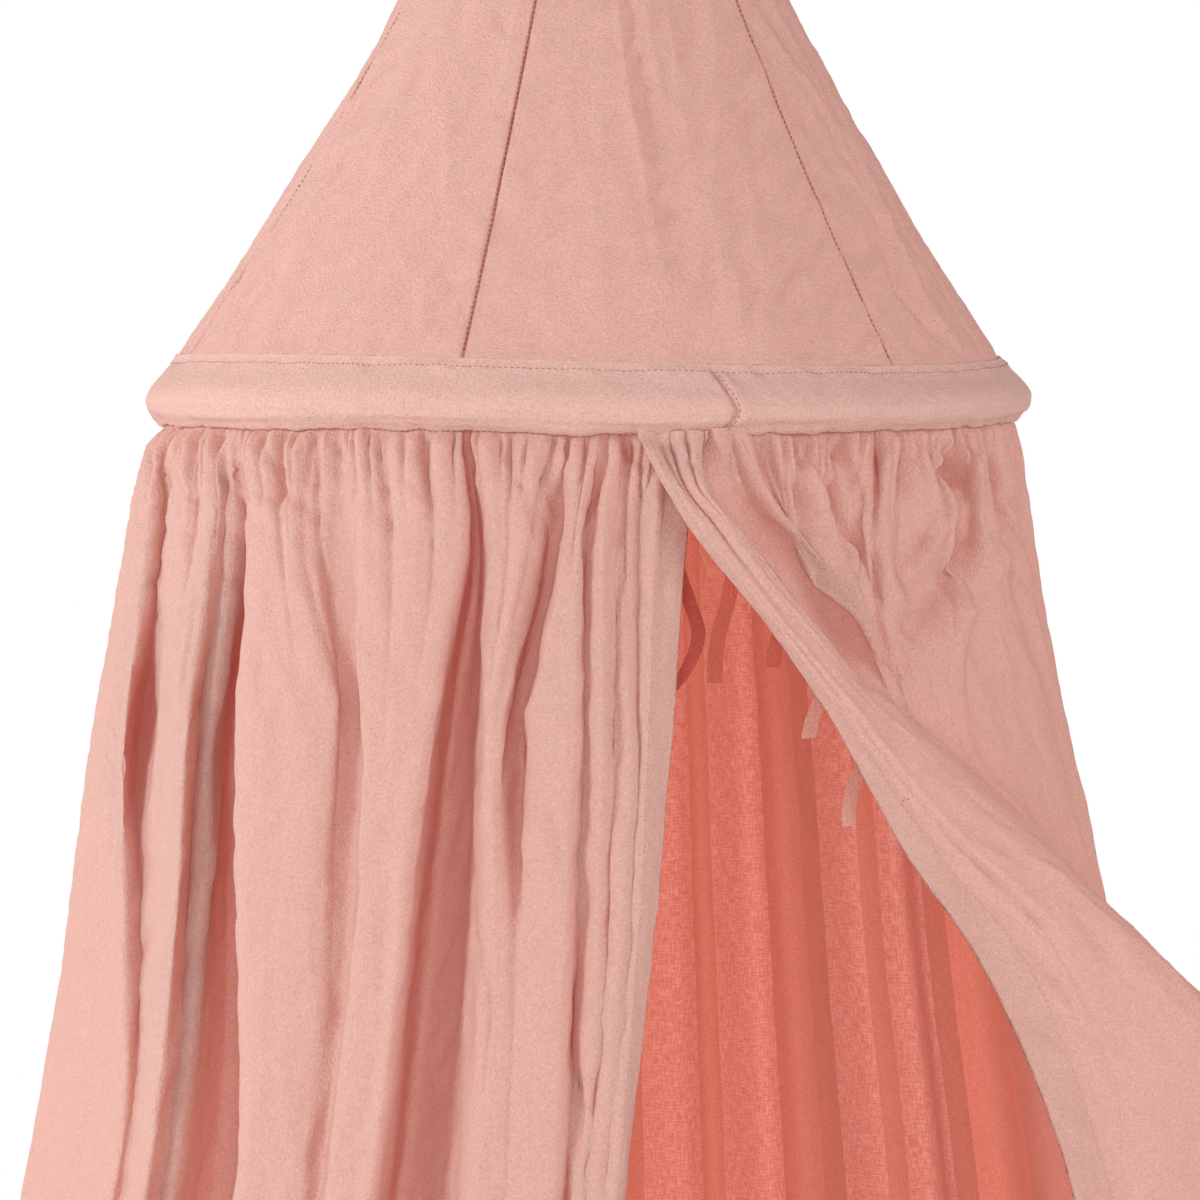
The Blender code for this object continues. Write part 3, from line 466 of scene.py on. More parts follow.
# Creases and ridges, one a row: half width and height in mm, then the points of its line. On a skirt panel
# a point is the number of a fold line and the cm below the casing.
LEFT_CREASES = (
    # Gathers, just under the casing.
    (2, -2, (25.8, 0.1), (25.8, 1.1)),
    (2.5, -3, (25.5, 0.1), (25.3, 1.6), (25.5, 2.8)),
    (3, -4, (23.4, 0.1), (23, 1.9), (23.6, 3.8)),
    (2.6, -4, (20.2, 0.3), (19.8, 1.5), (19.7, 2.7), (20.1, 3.4)),
    (2.6, -3, (19.2, 0.1), (19, 1.1), (19, 2.9), (19, 4.4)),
    (3.5, -5, (18.3, 0.2), (18.1, 1), (18.5, 1.6)),
    (2.6, -2.5, (17.1, 0.2), (16.9, 1.1), (16.9, 3.5)),
    (2.5, -2.5, (16.3, 0.1), (16.3, 0.7), (16.4, 2.3)),
    (3, -1.5, (15.7, 0.1), (15.7, 1.9)),
    (3, -3, (14.6, 0.1), (14, 1), (14, 2)),
    (2.6, -3.5, (11.3, 0.1), (11.2, 1.3), (10.4, 3.6), (9.9, 4.9)),
    (2.6, -3.5, (10.5, 0.1), (10.3, 1.2), (9.5, 3.3), (8.4, 4.9)),
    (2.5, -2.5, (9.6, 0.1), (8.9, 1.2)),
    (2.4, -3, (6.3, 0.1), (5.9, 2.4), (6.5, 4.9), (6.4, 9.9)),
    (2, -2, (5.4, 0.1), (5, 2.5)),
    (3, -3.5, (3.9, 0.1), (2.6, 1.5)),
    # Pockets, pressed edges and short wrinkles further down.
    (2.6, -2.4, (20.2, 3.6), (19.1, 2.9)),
    (3, 1.6, (20.2, 4.3), (19, 3.9)),
    (2, -1.6, (18.5, 1.7), (17, 3.2)),
    (2.5, 0.8, (16.7, 7.2), (16.2, 9.2)),
    (2, -1.4, (33.2, 13.4), (31.8, 20.2)),
    (2, -1.4, (33.8, 28), (33.1, 32.1)),
    (4, 2, (31.9, 18), (32.6, 22.4), (32, 26.6), (32, 34.9), (32, 41.9)),
    (2.5, -2, (25.1, 12.6), (25.7, 15.5)),
    (3, 3, (23.5, 18.9), (23.8, 22.7), (24.2, 26.2), (25.2, 30), (25.7, 32.8)),
    (3, 2.5, (26.5, 4.4), (26.5, 8.7), (26.8, 11.9), (27, 18.7)),
    (3, 1.5, (24.2, 14.3), (25.5, 19.5)),
    (3.5, -3, (19, 2.3), (19, 8.7), (18.8, 12.8), (17.6, 14.2)),
    (8, -5, (18.1, 2), (18.5, 10.7), (18.6, 22.3), (18.5, 28)),
    (4, 2.5, (17, 3.7), (17, 8), (16.9, 22.3), (17.4, 30), (17.1, 40)),
    (3, 2, (23, 2.6), (20.8, 5.7), (20.9, 8.8)),
    (5, 2, (14.1, 2.2), (14.9, 4.9), (15.1, 9.4), (14.9, 19.2), (15.1, 30.9)),
    (2.5, -3, (12.5, 21.6), (12.2, 25.3), (11, 29.2), (11, 33.4)),
    (5, -6, (9.7, 3.3), (9.1, 6.4), (8.9, 10.9), (9.6, 15.7), (9.8, 18.5)),
    (2.4, 2.4, (10.1, 4.8), (9.5, 7.3), (9.7, 10.7), (10.2, 15.5), (9.6, 19.3)),
    (2.4, 2.4, (7.9, 5), (7.8, 8.5), (7.8, 12), (8.3, 14.5), (9.4, 17.7)),
    (3, -3, (7.5, 18.6), (7.1, 22.1)),
    (4.5, -6, (6.3, 23.2), (6, 25.3), (6.2, 30.4), (5.2, 33.2), (5, 37.5)),
    (4, -3, (4.3, 31.6), (4.1, 34)),
    (2, 1.6, (3.1, 5), (3.3, 11.3), (2.9, 14.7), (2.7, 18.9)),
    (2.5, 2, (2.7, 18.2), (3.4, 20.2), (3.3, 23.6), (2.8, 27)),
    (2, -1.6, (2.5, 18.2), (2.1, 21.6), (1.2, 25), (0.6, 28)),
    (2.4, -1, (19, 21.3), (18.3, 23.6)),
    (3, -1.8, (17.9, 32.9), (18.6, 37.1)),
    (2, -1.5, (0.4, 33), (2.5, 34.3)),
    (2, -1.4, (3.3, 34.7), (3.6, 35.9)),
    (4, -1.2, (20.4, 9.8), (20.5, 13.8)),
    # Where the cloth bridges its valleys higher up than the main folds do.
    (7, 6, (2, 2), (2, 12), (2, 24), (2, 45)),
    (7, 5, (4, 3), (4, 14), (4, 30), (4, 45)),
    (8, 8, (6, 5), (6, 16), (6, 28), (6, 42)),
    (9, 10, (25, 4), (25, 14), (25, 26), (25, 44)),
    (14, 14, (29, 4), (29, 12), (29, 20), (29, 30)),
    (1.8, -2, (2, 4), (1.9, 14), (2.1, 26), (2, 42)),
    (1.8, -2, (4.2, 12), (4, 22), (4.3, 30)),
)
RIGHT_CREASES = (
    # The flap.
    (1.8, -2.2, (1, 2.5), (1, 12), (1, 22), (1, 32), (1, 48)),
    (2.2, 1.2, (0.88, 3), (0.88, 14), (0.9, 28), (0.9, 46)),
    (3, 1.6, (1.25, 6), (1.3, 16), (1.2, 24), (1.3, 34)),
    (3, -1.6, (1.9, 5), (2.2, 12), (2, 19), (2.5, 26)),
    (2.2, -1.4, (0.5, 18), (0.6, 24), (0.3, 29)),
    (2.6, -1.8, (2.2, 30), (1.7, 34), (1.9, 38)),
    (3, 2, (1.6, 28), (2.6, 31), (3, 36)),
    (2, -1.6, (1.2, 0.1), (1.7, 0.9), (2.9, 1.8), (3.7, 2)),
    (2, -1.6, (2.3, 0.1), (2.9, 0.5)),
    (3, -2.4, (1, 25.3), (1, 27.8), (0.9, 30.6), (1.2, 34.5)),
    (3, -2.5, (0.6, 33.9), (0.8, 37.7)),
    (3, -2.5, (1, 39.3), (1.4, 41.5)),
    (2.5, -1.5, (0.2, 37.3), (0.5, 39.5)),
    # Gathers and folds of the body beside it.
    (3.7, -9, (4.5, 0.1), (4.1, 1.2), (4, 2.3)),
    (12, -13, (5, 2.3), (4.9, 5.1), (4.6, 9.2), (4.7, 13)),
    (3.2, -6.7, (5.8, 0.1), (5.8, 0.9), (5.9, 2.8)),
    (2.5, -4.5, (6, 0.6), (6.1, 2), (6.3, 4)),
    (3.7, -7.8, (6.3, 0.1), (6.3, 0.9), (6.4, 1.7)),
    (3.7, -9, (6.6, 0.1), (6.7, 1), (6.9, 2.3), (7.1, 3)),
    (5, 9, (7.1, 0.2), (7.4, 3), (7.4, 5.8), (7.1, 8.8), (6.9, 11.6), (6.3, 15.4)),
    (3.7, -9, (7.5, 0.2), (7.5, 3.5)),
    (2.5, -4.5, (7.9, 0.1), (8, 0.8)),
    (2.8, -6.7, (8.5, 0.1), (8.8, 0.8), (9.3, 1.6)),
    (5.1, -6.7, (8.5, 1.2), (8.8, 2.4), (8.9, 3.2)),
    (3.7, -9, (10, 0.1), (10.2, 0.6), (11, 1.7), (11.5, 3.2)),
    (3.7, 5.6, (10.6, 0.1), (11.1, 0.9), (11.8, 2.4), (11.8, 6.1)),
    (9, -16, (11.6, 3.5), (11.5, 5.5), (11, 6.5), (9.3, 8.3), (8.7, 9.8), (7.2, 12.1)),
    (5.7, 9, (9.9, 4.4), (9.4, 5.9), (8.7, 7.6), (8.2, 8.9)),
    (5, -12, (9.2, 5.3), (8.8, 7), (8.4, 7.8)),
    (3.7, -9, (12.6, 0.1), (13.2, 1.9), (13.6, 5), (15, 7.5)),
    (5.1, 5.6, (11.8, 6.1), (12.5, 7.5), (13.3, 9.2), (13.5, 12.3)),
    (3.7, -4.5, (13.7, 9), (15.7, 11.1)),
    (4, -11, (7.4, 7), (7.2, 8.1), (7, 9.7), (6.6, 14)),
    (4.5, 7, (7.9, 6.9), (7.4, 8.8), (7, 12)),
    (10, -13, (5.1, 11.5), (4.7, 14.4), (4.6, 17)),
    (13, -15, (5.8, 1.6), (6, 4.2), (6.2, 6.9), (5.6, 10.7), (5.7, 12.6)),
    (5, 9, (6.3, 1.8), (6.5, 4.4), (6.7, 6.5), (6.4, 8.8), (6.2, 12.6)),
    (4, -9, (6.6, 1.6), (6.8, 4.6), (7.1, 6.5)),
    (5, -10, (9.4, 0.5), (10.4, 2.1), (11.5, 2.8)),
    (12, 9, (12.4, 4), (12.2, 7), (10.6, 9), (9.4, 11), (8.4, 13)),
    (5, -8, (12.3, 0.5), (13.6, 3.7), (15.4, 6), (15.7, 11.6)),
    (4, -6, (14.3, 0.7), (15.7, 4.2), (15.8, 6.9)),
)

# On the dome a point is a bearing in degrees and the cm above the casing.
DOME_CREASES = (
    (2.7, 2.2, (6, 30), (6, 19.2), (8, 13), (10, 6.5), (10.5, 2.7)),
    (4.5, -2.2, (8.5, 30), (8.5, 19.2), (10.5, 13), (12, 6.3)),
    (1.6, 1.2, (2, 6.5), (2, 3.5), (2, 1.1)),
    (3.6, -1.7, (34, 16.5), (32, 12.5), (31, 9.6), (32, 7.9)),
    (2, 1.5, (22, 5.7), (22, 4.1), (20, 1.3)),
    (2.3, -2.7, (37, 7), (31, 4.8), (27, 3)),
    (2.3, -2.7, (59, 7.3), (47, 5.5)),
    (2, 1.2, (-34, 14.2), (-28, 10.7), (-24, 7.6)),
    (2, -1.4, (-24, 4.9), (-20, 3.5)),
    (2, 1.4, (-26, 4.1), (-24, 2.7), (-22, 1.1)),
    (2, 1, (-26, 7.1), (-22, 7.5), (-17, 6.6)),
    (2, 0.9, (-32, 6), (-28, 4.3)),
    (2, -1.5, (-26, 18.2), (-20, 16.8)),
    (2.7, 2.2, (-61, 15.4), (-62, 12.2), (-63, 7.9), (-62, 0.8)),
    (2.2, 1.7, (-56, 11.3), (-57, 5.8), (-58, 2.7)),
    (2.7, 2.7, (47, 18.7), (54, 16.7), (60, 13.6), (60, 7.3), (54, 3.5)),
    (3.6, 3.3, (64, 17.5), (63, 11.6), (61, 7.5), (59, 0.6)),
    (2.2, 1.5, (49, 10), (56, 10.4), (60, 8.1)),
    (2.7, -2.7, (60, 6.9), (54, 4.1), (58, 1.3)),
    (3.6, -3.3, (62, 14.5), (67, 12.1), (78, 9.4)),
    (2.7, 2.5, (58, 3), (63, 0.4)),
)

SKIRT_CREASES = {"left": LEFT_CREASES, "right": RIGHT_CREASES, "back": ()}

CREASE_STEPS = 6  # straight steps between two of a crease's points
CREASE_STEEP = 0.6  # how fast the cloth falls away on a crease's steep side, in its half widths
CREASE_SLACK = 1.5  # and on its slack side
CREASE_ROUND = 0.0008
CREASE_COLUMNS = 60  # how many columns to each side a crease may reach
CREASE_ENDS = 0.04  # share of its length at each end where a crease has faded as far as it does


def creases(table, across, down, places):
    """Height of the listed creases. places are the columns' numbers: fold lines or bearings."""
    total = np.zeros(across.shape)
    for wide_mm, high_mm, *points in table:
        if not places[0] < points[0][0] < places[-1]:
            continue
        lines, runs = (np.array(values) for values in zip(*points))
        stations = np.arange(len(lines))
        shares = np.linspace(0, stations[-1], CREASE_STEPS * stations[-1] + 1)
        lines, runs = through(stations, lines, shares), through(stations, runs * CM, shares)
        column = np.clip(np.searchsorted(places, lines), 0, len(places) - 1)
        row = np.abs(down[column] - runs[:, None]).argmin(axis=1)
        trace = np.stack([across[column, row], runs], axis=1)

        reach = 3 * wide_mm * MM
        first = np.abs(down[0] - runs.min() + reach).argmin()
        last = np.abs(down[0] - runs.max() - reach).argmin()
        beside = slice(max(column.min() - CREASE_COLUMNS, 0), column.max() + CREASE_COLUMNS)
        near = (beside, slice(*sorted((first, last))))
        here, below = across[near], down[near]
        best, along, steep = np.full(here.shape, 1.0), np.zeros(here.shape), np.zeros(here.shape, bool)
        lengths = np.linalg.norm(np.diff(trace, axis=0), axis=1) + 1e-9
        done = 0
        for start, end, length in zip(trace, trace[1:], lengths):
            direction = (end - start) / length
            du, dv = here - start[0], below - start[1]
            t = np.clip(du * direction[0] + dv * direction[1], 0, length)
            away = np.hypot(du - t * direction[0], dv - t * direction[1])
            nearer = away < best
            best = np.where(nearer, away, best)
            along = np.where(nearer, done + t, along)
            steep = np.where(nearer, du * direction[1] - dv * direction[0] > 0, steep)
            done += length
        taper = np.sin(np.pi * np.clip(along / done, CREASE_ENDS, 1 - CREASE_ENDS)) ** 0.5
        wide = wide_mm * MM * np.where(steep, CREASE_STEEP, CREASE_SLACK)
        profile = np.exp((CREASE_ROUND - np.hypot(best, CREASE_ROUND)) / wide)
        total[near] += high_mm * MM * taper * profile
    return total


# The washed cotton's own unevenness: soft upright buckles, and sharper wrinkles that run every way.
BUCKLE_HIGH = 0.0011
BUCKLE_SIZE = (0.024, 0.090)
Wrinkle = namedtuple("Wrinkle", "high wide long slant seed")
WRINKLES = (
    Wrinkle(0.0020, 0.021, 0.060, 0.25, 2),
    Wrinkle(0.0020, 0.013, 0.028, -0.4, 5),
    Wrinkle(0.0004, 0.009, 0.014, 0.5, 8),
)
WRINKLE_LEVEL = 0.2  # taken off, so that the wrinkles leave the cloth about where it was


def crumple(across, down, seed):
    total = BUCKLE_HIGH * lumps(across, down, *BUCKLE_SIZE, seed)
    for high, wide, long, slant, own_seed in WRINKLES:
        ridges = np.abs(lumps(across + slant * down, down, wide, long, seed + own_seed))
        total += high * (WRINKLE_LEVEL - ridges)
    return total


def relief(panel, across, places, seed):
    """How far the cloth stands out from its main folds."""
    down = np.broadcast_to(FINE_ROWS[None, :], across.shape)
    total = gathers(across[:, int(np.searchsorted(FINE_ROWS, GATHERS_AT))], down)
    total += crumple(across, down, seed)
    return total + creases(SKIRT_CREASES[panel], across, down, places)


def add_object(name, data):
    obj = bpy.data.objects.new(name, data)
    bpy.context.scene.collection.objects.link(obj)
    return obj


def add_piece(name, mesh, material):
    mesh.shade_smooth()
    mesh.materials.append(material)
    obj = add_object(name, mesh)
    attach(obj, "root")
    return obj


def cloth_object(name, grid, material, depths=None, aside=HOOP_ASIDE):
    """One skin of cloth over a grid of points. Its UV map is the cloth laid flat, in metres."""
    columns, rows = grid.shape[:2]
    across = widths(grid)[:, rows // 3]
    if depths is None:
        depths = run_along(grid[columns // 2])
    points = grid.reshape(-1, 3) + (aside, 0, 0)
    a = (np.arange(columns - 1)[:, None] * rows + np.arange(rows - 1)[None, :]).reshape(-1)
    faces = np.stack([a, a + rows, a + rows + 1, a + 1], axis=1)
    mesh = bpy.data.meshes.new(name)
    mesh.from_pydata(points.tolist(), [], faces.tolist())
    uv = np.stack([np.repeat(across, rows), np.tile(depths, columns)], axis=1)
    layer = mesh.uv_layers.new(name="cloth")
    layer.data.foreach_set("uv", uv[faces.reshape(-1)].reshape(-1).astype(np.float32))
    return add_piece(name, mesh, material)


# Machine stitches, and the dome seams' dark beads of painted shade: one thread's visible length, its width
# and the way from one to the next.
STITCH_LONG = 0.0023
STITCH_WIDE = 0.0006
STITCH_PITCH = 0.0032
BEAD = np.array([(-0.5, 0, 0), (0.5, 0, 0), (0, 0.5, 0), (0, 0, 0.5), (0, -0.5, 0), (0, 0, -0.5)])
BEAD_FACES = np.array(
    [(0, 3, 2), (0, 4, 3), (0, 5, 4), (0, 2, 5), (1, 2, 3), (1, 3, 4), (1, 4, 5), (1, 5, 2)]
)
STITCH_UP = 0.0001  # how far a bead's middle stands off its seam's line


def stitches(name, seams, material, wide=STITCH_WIDE):
    """Rows of stitches, a bead of thread each, or dark beads that paint a seam's shade. A seam is its
    points and the ways out of the cloth there.
    """
    points = []
    for seam, outward in seams:
        run = run_along(seam)
        wanted = np.arange(STITCH_PITCH, run[-1] - STITCH_PITCH, STITCH_PITCH)
        middle, ahead, out = (
            np.stack([np.interp(at, run, values[:, k]) for k in range(3)], axis=1)
            for at, values in ((wanted, seam), (wanted + 0.001, seam), (wanted, outward))
        )
        along = ahead - middle
        along /= np.linalg.norm(along, axis=1, keepdims=True)
        out /= np.linalg.norm(out, axis=1, keepdims=True)
        side = np.cross(along, out)
        shape = BEAD * (STITCH_LONG, wide, wide)
        beads = middle[:, None] + out[:, None] * STITCH_UP + shape[None, :, :1] * along[:, None]
        beads = beads + shape[None, :, 1:2] * side[:, None] + shape[None, :, 2:] * out[:, None]
        points.append(beads.reshape(-1, 3))
    points = np.concatenate(points) + (HOOP_ASIDE, 0, 0)
    count = len(points) // len(BEAD)
    faces = (BEAD_FACES[None] + len(BEAD) * np.arange(count)[:, None, None]).reshape(-1, 3)
    mesh = bpy.data.meshes.new(name)
    mesh.from_pydata(points.tolist(), [], faces.tolist())
    add_piece(name, mesh, material)


def add_material(name):
    material = bpy.data.materials.new(name)
    material.use_nodes = True
    return material, material.node_tree


def fill(tree, made, sockets):
    """Give a node's sockets their values, or links from other nodes' outputs."""
    for socket, value in sockets.items():
        if isinstance(value, bpy.types.NodeSocket):
            tree.links.new(value, made.inputs[socket])
        else:
            made.inputs[socket].default_value = value


def add_node(tree, kind, sockets=None, **settings):
    """A shader node of this kind; its settings come before its sockets."""
    made = tree.nodes.new("ShaderNode" + kind)
    for setting, value in settings.items():
        setattr(made, setting, value)
    fill(tree, made, sockets or {})
    return made


def grain(tree, where, scale, detail):
    """A pattern that is alike in every direction on the cloth."""
    sockets = {"Scale": scale, "Detail": detail, "Vector": where.outputs["Object"]}
    return add_node(tree, "TexNoise", sockets).outputs["Fac"]


def streaks(tree, where, scale_across, scale_down):
    """A pattern drawn out along the cloth's threads."""
    sockets = {"Scale": (scale_across, scale_down, 1), "Vector": where.outputs["UV"]}
    mapping = add_node(tree, "Mapping", sockets)
    sockets = {"Scale": 1, "Detail": 3, "Vector": mapping.outputs["Vector"]}
    return add_node(tree, "TexNoise", sockets).outputs["Fac"]


def tint(tree, colour, spread, fac):
    """The colour, darker and lighter by this share as the pattern goes."""
    low = [c * (1 - spread) for c in colour]
    high = [min(c * (1 + spread), 1) for c in colour]
    sockets = {"A": (*low, 1), "B": (*high, 1), "Factor": fac}
    return add_node(tree, "Mix", sockets, data_type="RGBA").outputs["Result"]


def banded(tree, where, bands, mottle, colour, value):
    """The colour with pale threads in it, in the bands where the cloth is single, and darkened band by band
    with painted shade. On the cloth's face the pale threads are a painted glow of light through the weave.
    """
    apart = add_node(tree, "SeparateXYZ", {"Vector": where.outputs["UV"]})
    scaled = add_node(tree, "Math", {0: apart.outputs["X"], 1: BANDS_WIDE}, operation="DIVIDE")
    ramp = add_node(tree, "ValToRGB", {"Fac": scaled.outputs["Value"]})
    stops = ramp.color_ramp
    stops.interpolation = "CONSTANT"
    for place, single, shade in bands:
        stops.elements.new(min(place / BANDS_WIDE, 1)).color = (single, shade, 0, 1)
    stops.elements.remove(stops.elements[0])
    levels = add_node(tree, "SeparateColor", {"Color": ramp.outputs["Color"]})
    sharper = add_node(tree, "MapRange", {"From Min": 0.45, "From Max": 0.58, "Value": mottle})
    factors = {0: sharper.outputs["Result"], 1: levels.outputs["Red"]}
    amount = add_node(tree, "Math", factors, operation="MULTIPLY")
    sockets = {"A": colour, "B": (*value, 1), "Factor": amount.outputs["Value"]}
    pale = add_node(tree, "Mix", sockets, data_type="RGBA")
    shade = levels.outputs["Green"]
    painted_shade_grey = add_node(tree, "CombineColor", {"Red": shade, "Green": shade, "Blue": shade})
    sockets = {"Factor": 1, "A": pale.outputs["Result"], "B": painted_shade_grey.outputs["Color"]}
    return add_node(tree, "Mix", sockets, data_type="RGBA", blend_type="MULTIPLY").outputs["Result"]


# The cotton's fine patterns: how many a metre, how high they stand, and how far its colours spread.
PATCH_SCALE, CRINKLE_SCALE, THREAD_SCALE = 780, 820, 1900
CRINKLE_HIGH, THREAD_HIGH = 0.0009, 0.0003
FACE_SPREAD, GLOW_SPREAD = 0.24, 0.30
# The weave's thin places on the cloth's face: paler threads painted as a glow of light coming through them.
WEAVE_PAINTED_GLOW = (0.92, 0.60, 0.55)
PALE_THREADS_GLOW = (1.0, 0.38, 0.31)


def cloth_look(name, lit, through_it, clear, bands=()):
    """Crinkled cotton: a matt face that lets some light through, with a fine crinkle and a weave.

    The bands, from one side of the cloth to the other, say how much the weave's thick and thin places show,
    painted paler as light through them, and how dark a painted shade makes the cloth.
    """
    material, tree = add_material(name)
    where = add_node(tree, "TexCoord")
    patch = grain(tree, where, PATCH_SCALE, 2)
    face, glow_colour = tint(tree, lit, FACE_SPREAD, patch), tint(tree, through_it, GLOW_SPREAD, patch)
    if bands:
        upright, level = streaks(tree, where, 1100, 130), streaks(tree, where, 150, 1000)
        mottle = add_node(tree, "Mix", {"Factor": 0.5, "A": upright, "B": level}).outputs["Result"]
        # The bands' painted glow and painted shade, on the face and in the light that passes through.
        face = banded(tree, where, bands, mottle, face, WEAVE_PAINTED_GLOW)
        glow_colour = banded(tree, where, bands, mottle, glow_colour, PALE_THREADS_GLOW)
    crinkle = {"Distance": CRINKLE_HIGH, "Height": grain(tree, where, CRINKLE_SCALE, 1)}
    thread = {"Distance": THREAD_HIGH, "Height": grain(tree, where, THREAD_SCALE, 1)}
    thread["Normal"] = add_node(tree, "Bump", crinkle).outputs["Normal"]
    bumps = add_node(tree, "Bump", thread).outputs["Normal"]
    shader = tree.nodes["Principled BSDF"]
    fill(tree, shader, {"Roughness": 0.92, "Specular IOR Level": 0.15, "Base Color": face, "Normal": bumps})
    fill(tree, shader, {"Sheen Weight": 0.12, "Sheen Roughness": 0.5})
    glow = add_node(tree, "BsdfTranslucent", {"Color": glow_colour, "Normal": bumps})
    sockets = {"Fac": clear, 1: shader.outputs["BSDF"], 2: glow.outputs["BSDF"]}
    both = add_node(tree, "MixShader", sockets)
    fill(tree, tree.nodes["Material Output"], {"Surface": both.outputs["Shader"]})
    return material


# Bands of the back panel, from its seam with the right panel: where each starts, how much of the weave's
# pale threads show there, painted as glow, and how light a painted shade leaves it. The weave shows least,
# and the painted shade is mostly darker, where the pressed folds lie double.
BANDS_WIDE = 0.95
BACK_BANDS = (
    (0.000, 0.15, 1.00), (0.044, 0.0, 0.80), (0.053, 1.0, 0.94), (0.107, 0.0, 0.90), (0.116, 1.0, 0.95),
    (0.152, 0.1, 0.84), (0.168, 0.0, 0.92), (0.193, 1.0, 1.00), (0.240, 0.0, 0.95), (0.255, 1.0, 1.00),
    (0.292, 0.1, 0.92), (0.325, 1.0, 0.98), (0.372, 0.0, 0.94), (0.392, 1.0, 1.00), (0.451, 0.1, 0.90),
    (0.474, 1.0, 0.97), (0.533, 0.0, 0.93), (0.556, 1.0, 1.00), (0.611, 0.1, 0.90), (0.640, 1.0, 0.98),
    (0.690, 0.0, 0.94), (0.717, 1.0, 0.98), (0.775, 0.0, 0.90), (0.802, 1.0, 0.96), (0.880, 0.1, 0.95),
)

LIT = (0.92, 0.63, 0.55)
THROUGH = (0.90, 0.21, 0.145)
SKIRT_CLOTH = cloth_look("skirt_cloth", LIT, THROUGH, clear=0.36)
# The back panel takes a darker, redder copy of the skirt cotton's colour: painted shade for its inner face,
# which is seen in shadow.
BACK_CLOTH = cloth_look("back_cloth", (0.86, 0.46, 0.37), THROUGH, clear=0.42, bands=BACK_BANDS)
DOME_CLOTH = cloth_look("dome_cloth", (0.87, 0.57, 0.50), THROUGH, clear=0.24)
CASING_CLOTH = cloth_look("casing_cloth", (0.85, 0.55, 0.48), THROUGH, clear=0.16)
# Ribbon colours: a dark copy paints the shade on the ties in shadow, and a pale copy paints the light on
# the lit ones.
PAINTED_SHADE_RIBBON = cloth_look("painted_shade_ribbon", (0.60, 0.15, 0.11), THROUGH, clear=0.08)
PAINTED_LIT_RIBBON = cloth_look("painted_lit_ribbon", (0.78, 0.44, 0.36), THROUGH, clear=0.12)
THREAD = cloth_look("sewing_thread", (0.80, 0.44, 0.37), THROUGH, clear=0.05)
# Dark thread. In the dome's seams its beads are painted shade where no thread shows. On the casing's seams
# they are stitches darkened with painted shade. It also colours the flap's bar tack.
DARK_THREAD_AND_SEAM_SHADE = cloth_look("dark_thread_and_seam_shade", (0.42, 0.14, 0.10), THROUGH, clear=0.05)
TAPE_CLOTH = cloth_look("tape_cotton", (0.66, 0.30, 0.23), THROUGH, clear=0.06)


def turned_under(grid, outward, columns):
    """The grid with its free edge folded back behind itself, as far as the hem is wide."""
    behind = grid[columns:0:-1] - outward[columns:0:-1] * HEM_GAP
    return np.concatenate([behind, grid])


HEM_STITCH_IN = 1  # columns from the hem's turned edge to its stitches
# A short row of stitches holds the flap's hem where it turns.
TACK_PLACES = (0.45, 1.05)
TACK_RUN = 0.227
EDGE_CALM = 0.012  # the relief dies out over this width towards a plain edge


def panel(name, lines, count, side, seed, hem_line, flat):
    """A skirt panel with its relief and turned front hem. side turns its normals out of the canopy.

    Gives back its column places and its relief, which the ribbons behind it need.
    """
    places = even_places(lines, count, 0.5 if hem_line else 1)
    grid = across_lines(lines, places)
    outward = grid_normals(grid) * side
    across = widths(grid)
    high = relief(name, across, places, seed)
    high *= 0.5 + 0.5 * shoulder(-grid[:, :, 1], 0.01, 0.12)  # half as high round the back
    high *= shoulder(across[-1:] - across, 0, EDGE_CALM)
    if not hem_line:
        high *= shoulder(across, 0, EDGE_CALM)
    grid = grid + outward * high[:, :, None]
    if name == "right":
        row = int(np.searchsorted(FINE_ROWS, TACK_RUN))
        tacked = slice(*np.searchsorted(places, TACK_PLACES))
        stitches("flap_bar_tack", [(grid[tacked, row], outward[tacked, row])], DARK_THREAD_AND_SEAM_SHADE)
    if hem_line:
        outward = grid_normals(grid) * side
        turned = int(np.searchsorted(places, hem_line))
        grid = turned_under(grid, outward, turned)
        row_of_stitches = (grid[2 * turned - HEM_STITCH_IN], outward[turned - HEM_STITCH_IN])
        stitches(f"{name}_hem_stitches", [row_of_stitches], THREAD)
    tucked = grid[:, :1] + (0, 0, SEAM_TUCK)
    grid = np.concatenate([tucked, grid], axis=1)
    depths = np.concatenate([[-SEAM_TUCK], FINE_ROWS])
    obj = cloth_object(f"skirt_{name}_cloth", grid, SKIRT_CLOTH if hem_line else BACK_CLOTH, depths=depths)
    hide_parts(f"skirt_{name}")
    return places, high


def make_skirt():
    left = [fold_line(fold, FINE_ROWS) for fold in LEFT_FOLDS]
    right = [flap_line(line, FINE_ROWS) for line in FLAP_LINES]
    right += [fold_line(fold, FINE_ROWS) for fold in RIGHT_FOLDS]
    back = [fold_line(fold, FINE_ROWS) for fold in back_folds()]
    reliefs = {
        "left": panel("left", left, 620, 1, 1.5, 1, (1.08, 1.12)),
        "flap": panel("right", right, 600, -1, 7.5, 0.6, (0.82, 1.12)),
    }
    panel("back", back, 360, -1, 4.5, 0, (0.90, 1.12))
    return reliefs


GORE_ROWS = 150
GORE_COLUMNS = 86
# The columns beside a seam, as shares of the gore's width.
SEAM_COLUMNS = (0, 0.0011, 0.0022, 0.0036, 0.0055, 0.008, 0.012, 0.018, 0.027)
# The dome seams' dark beads, painted shade in the grooves: their width, then their height.
SEAM_SHADE_BEAD_WIDE = 0.0010
SEAM_SHADE_BEAD_UP = 0.0017  # how far the beads of painted seam shade stand above the bottom of their groove
SEAM_DEEP = 0.0024
SEAM_WIDE = 0.0008
ALLOWANCE = 0.009  # the seam allowance is pressed to one side and stands up a little
ALLOWANCE_HIGH = 0.0004


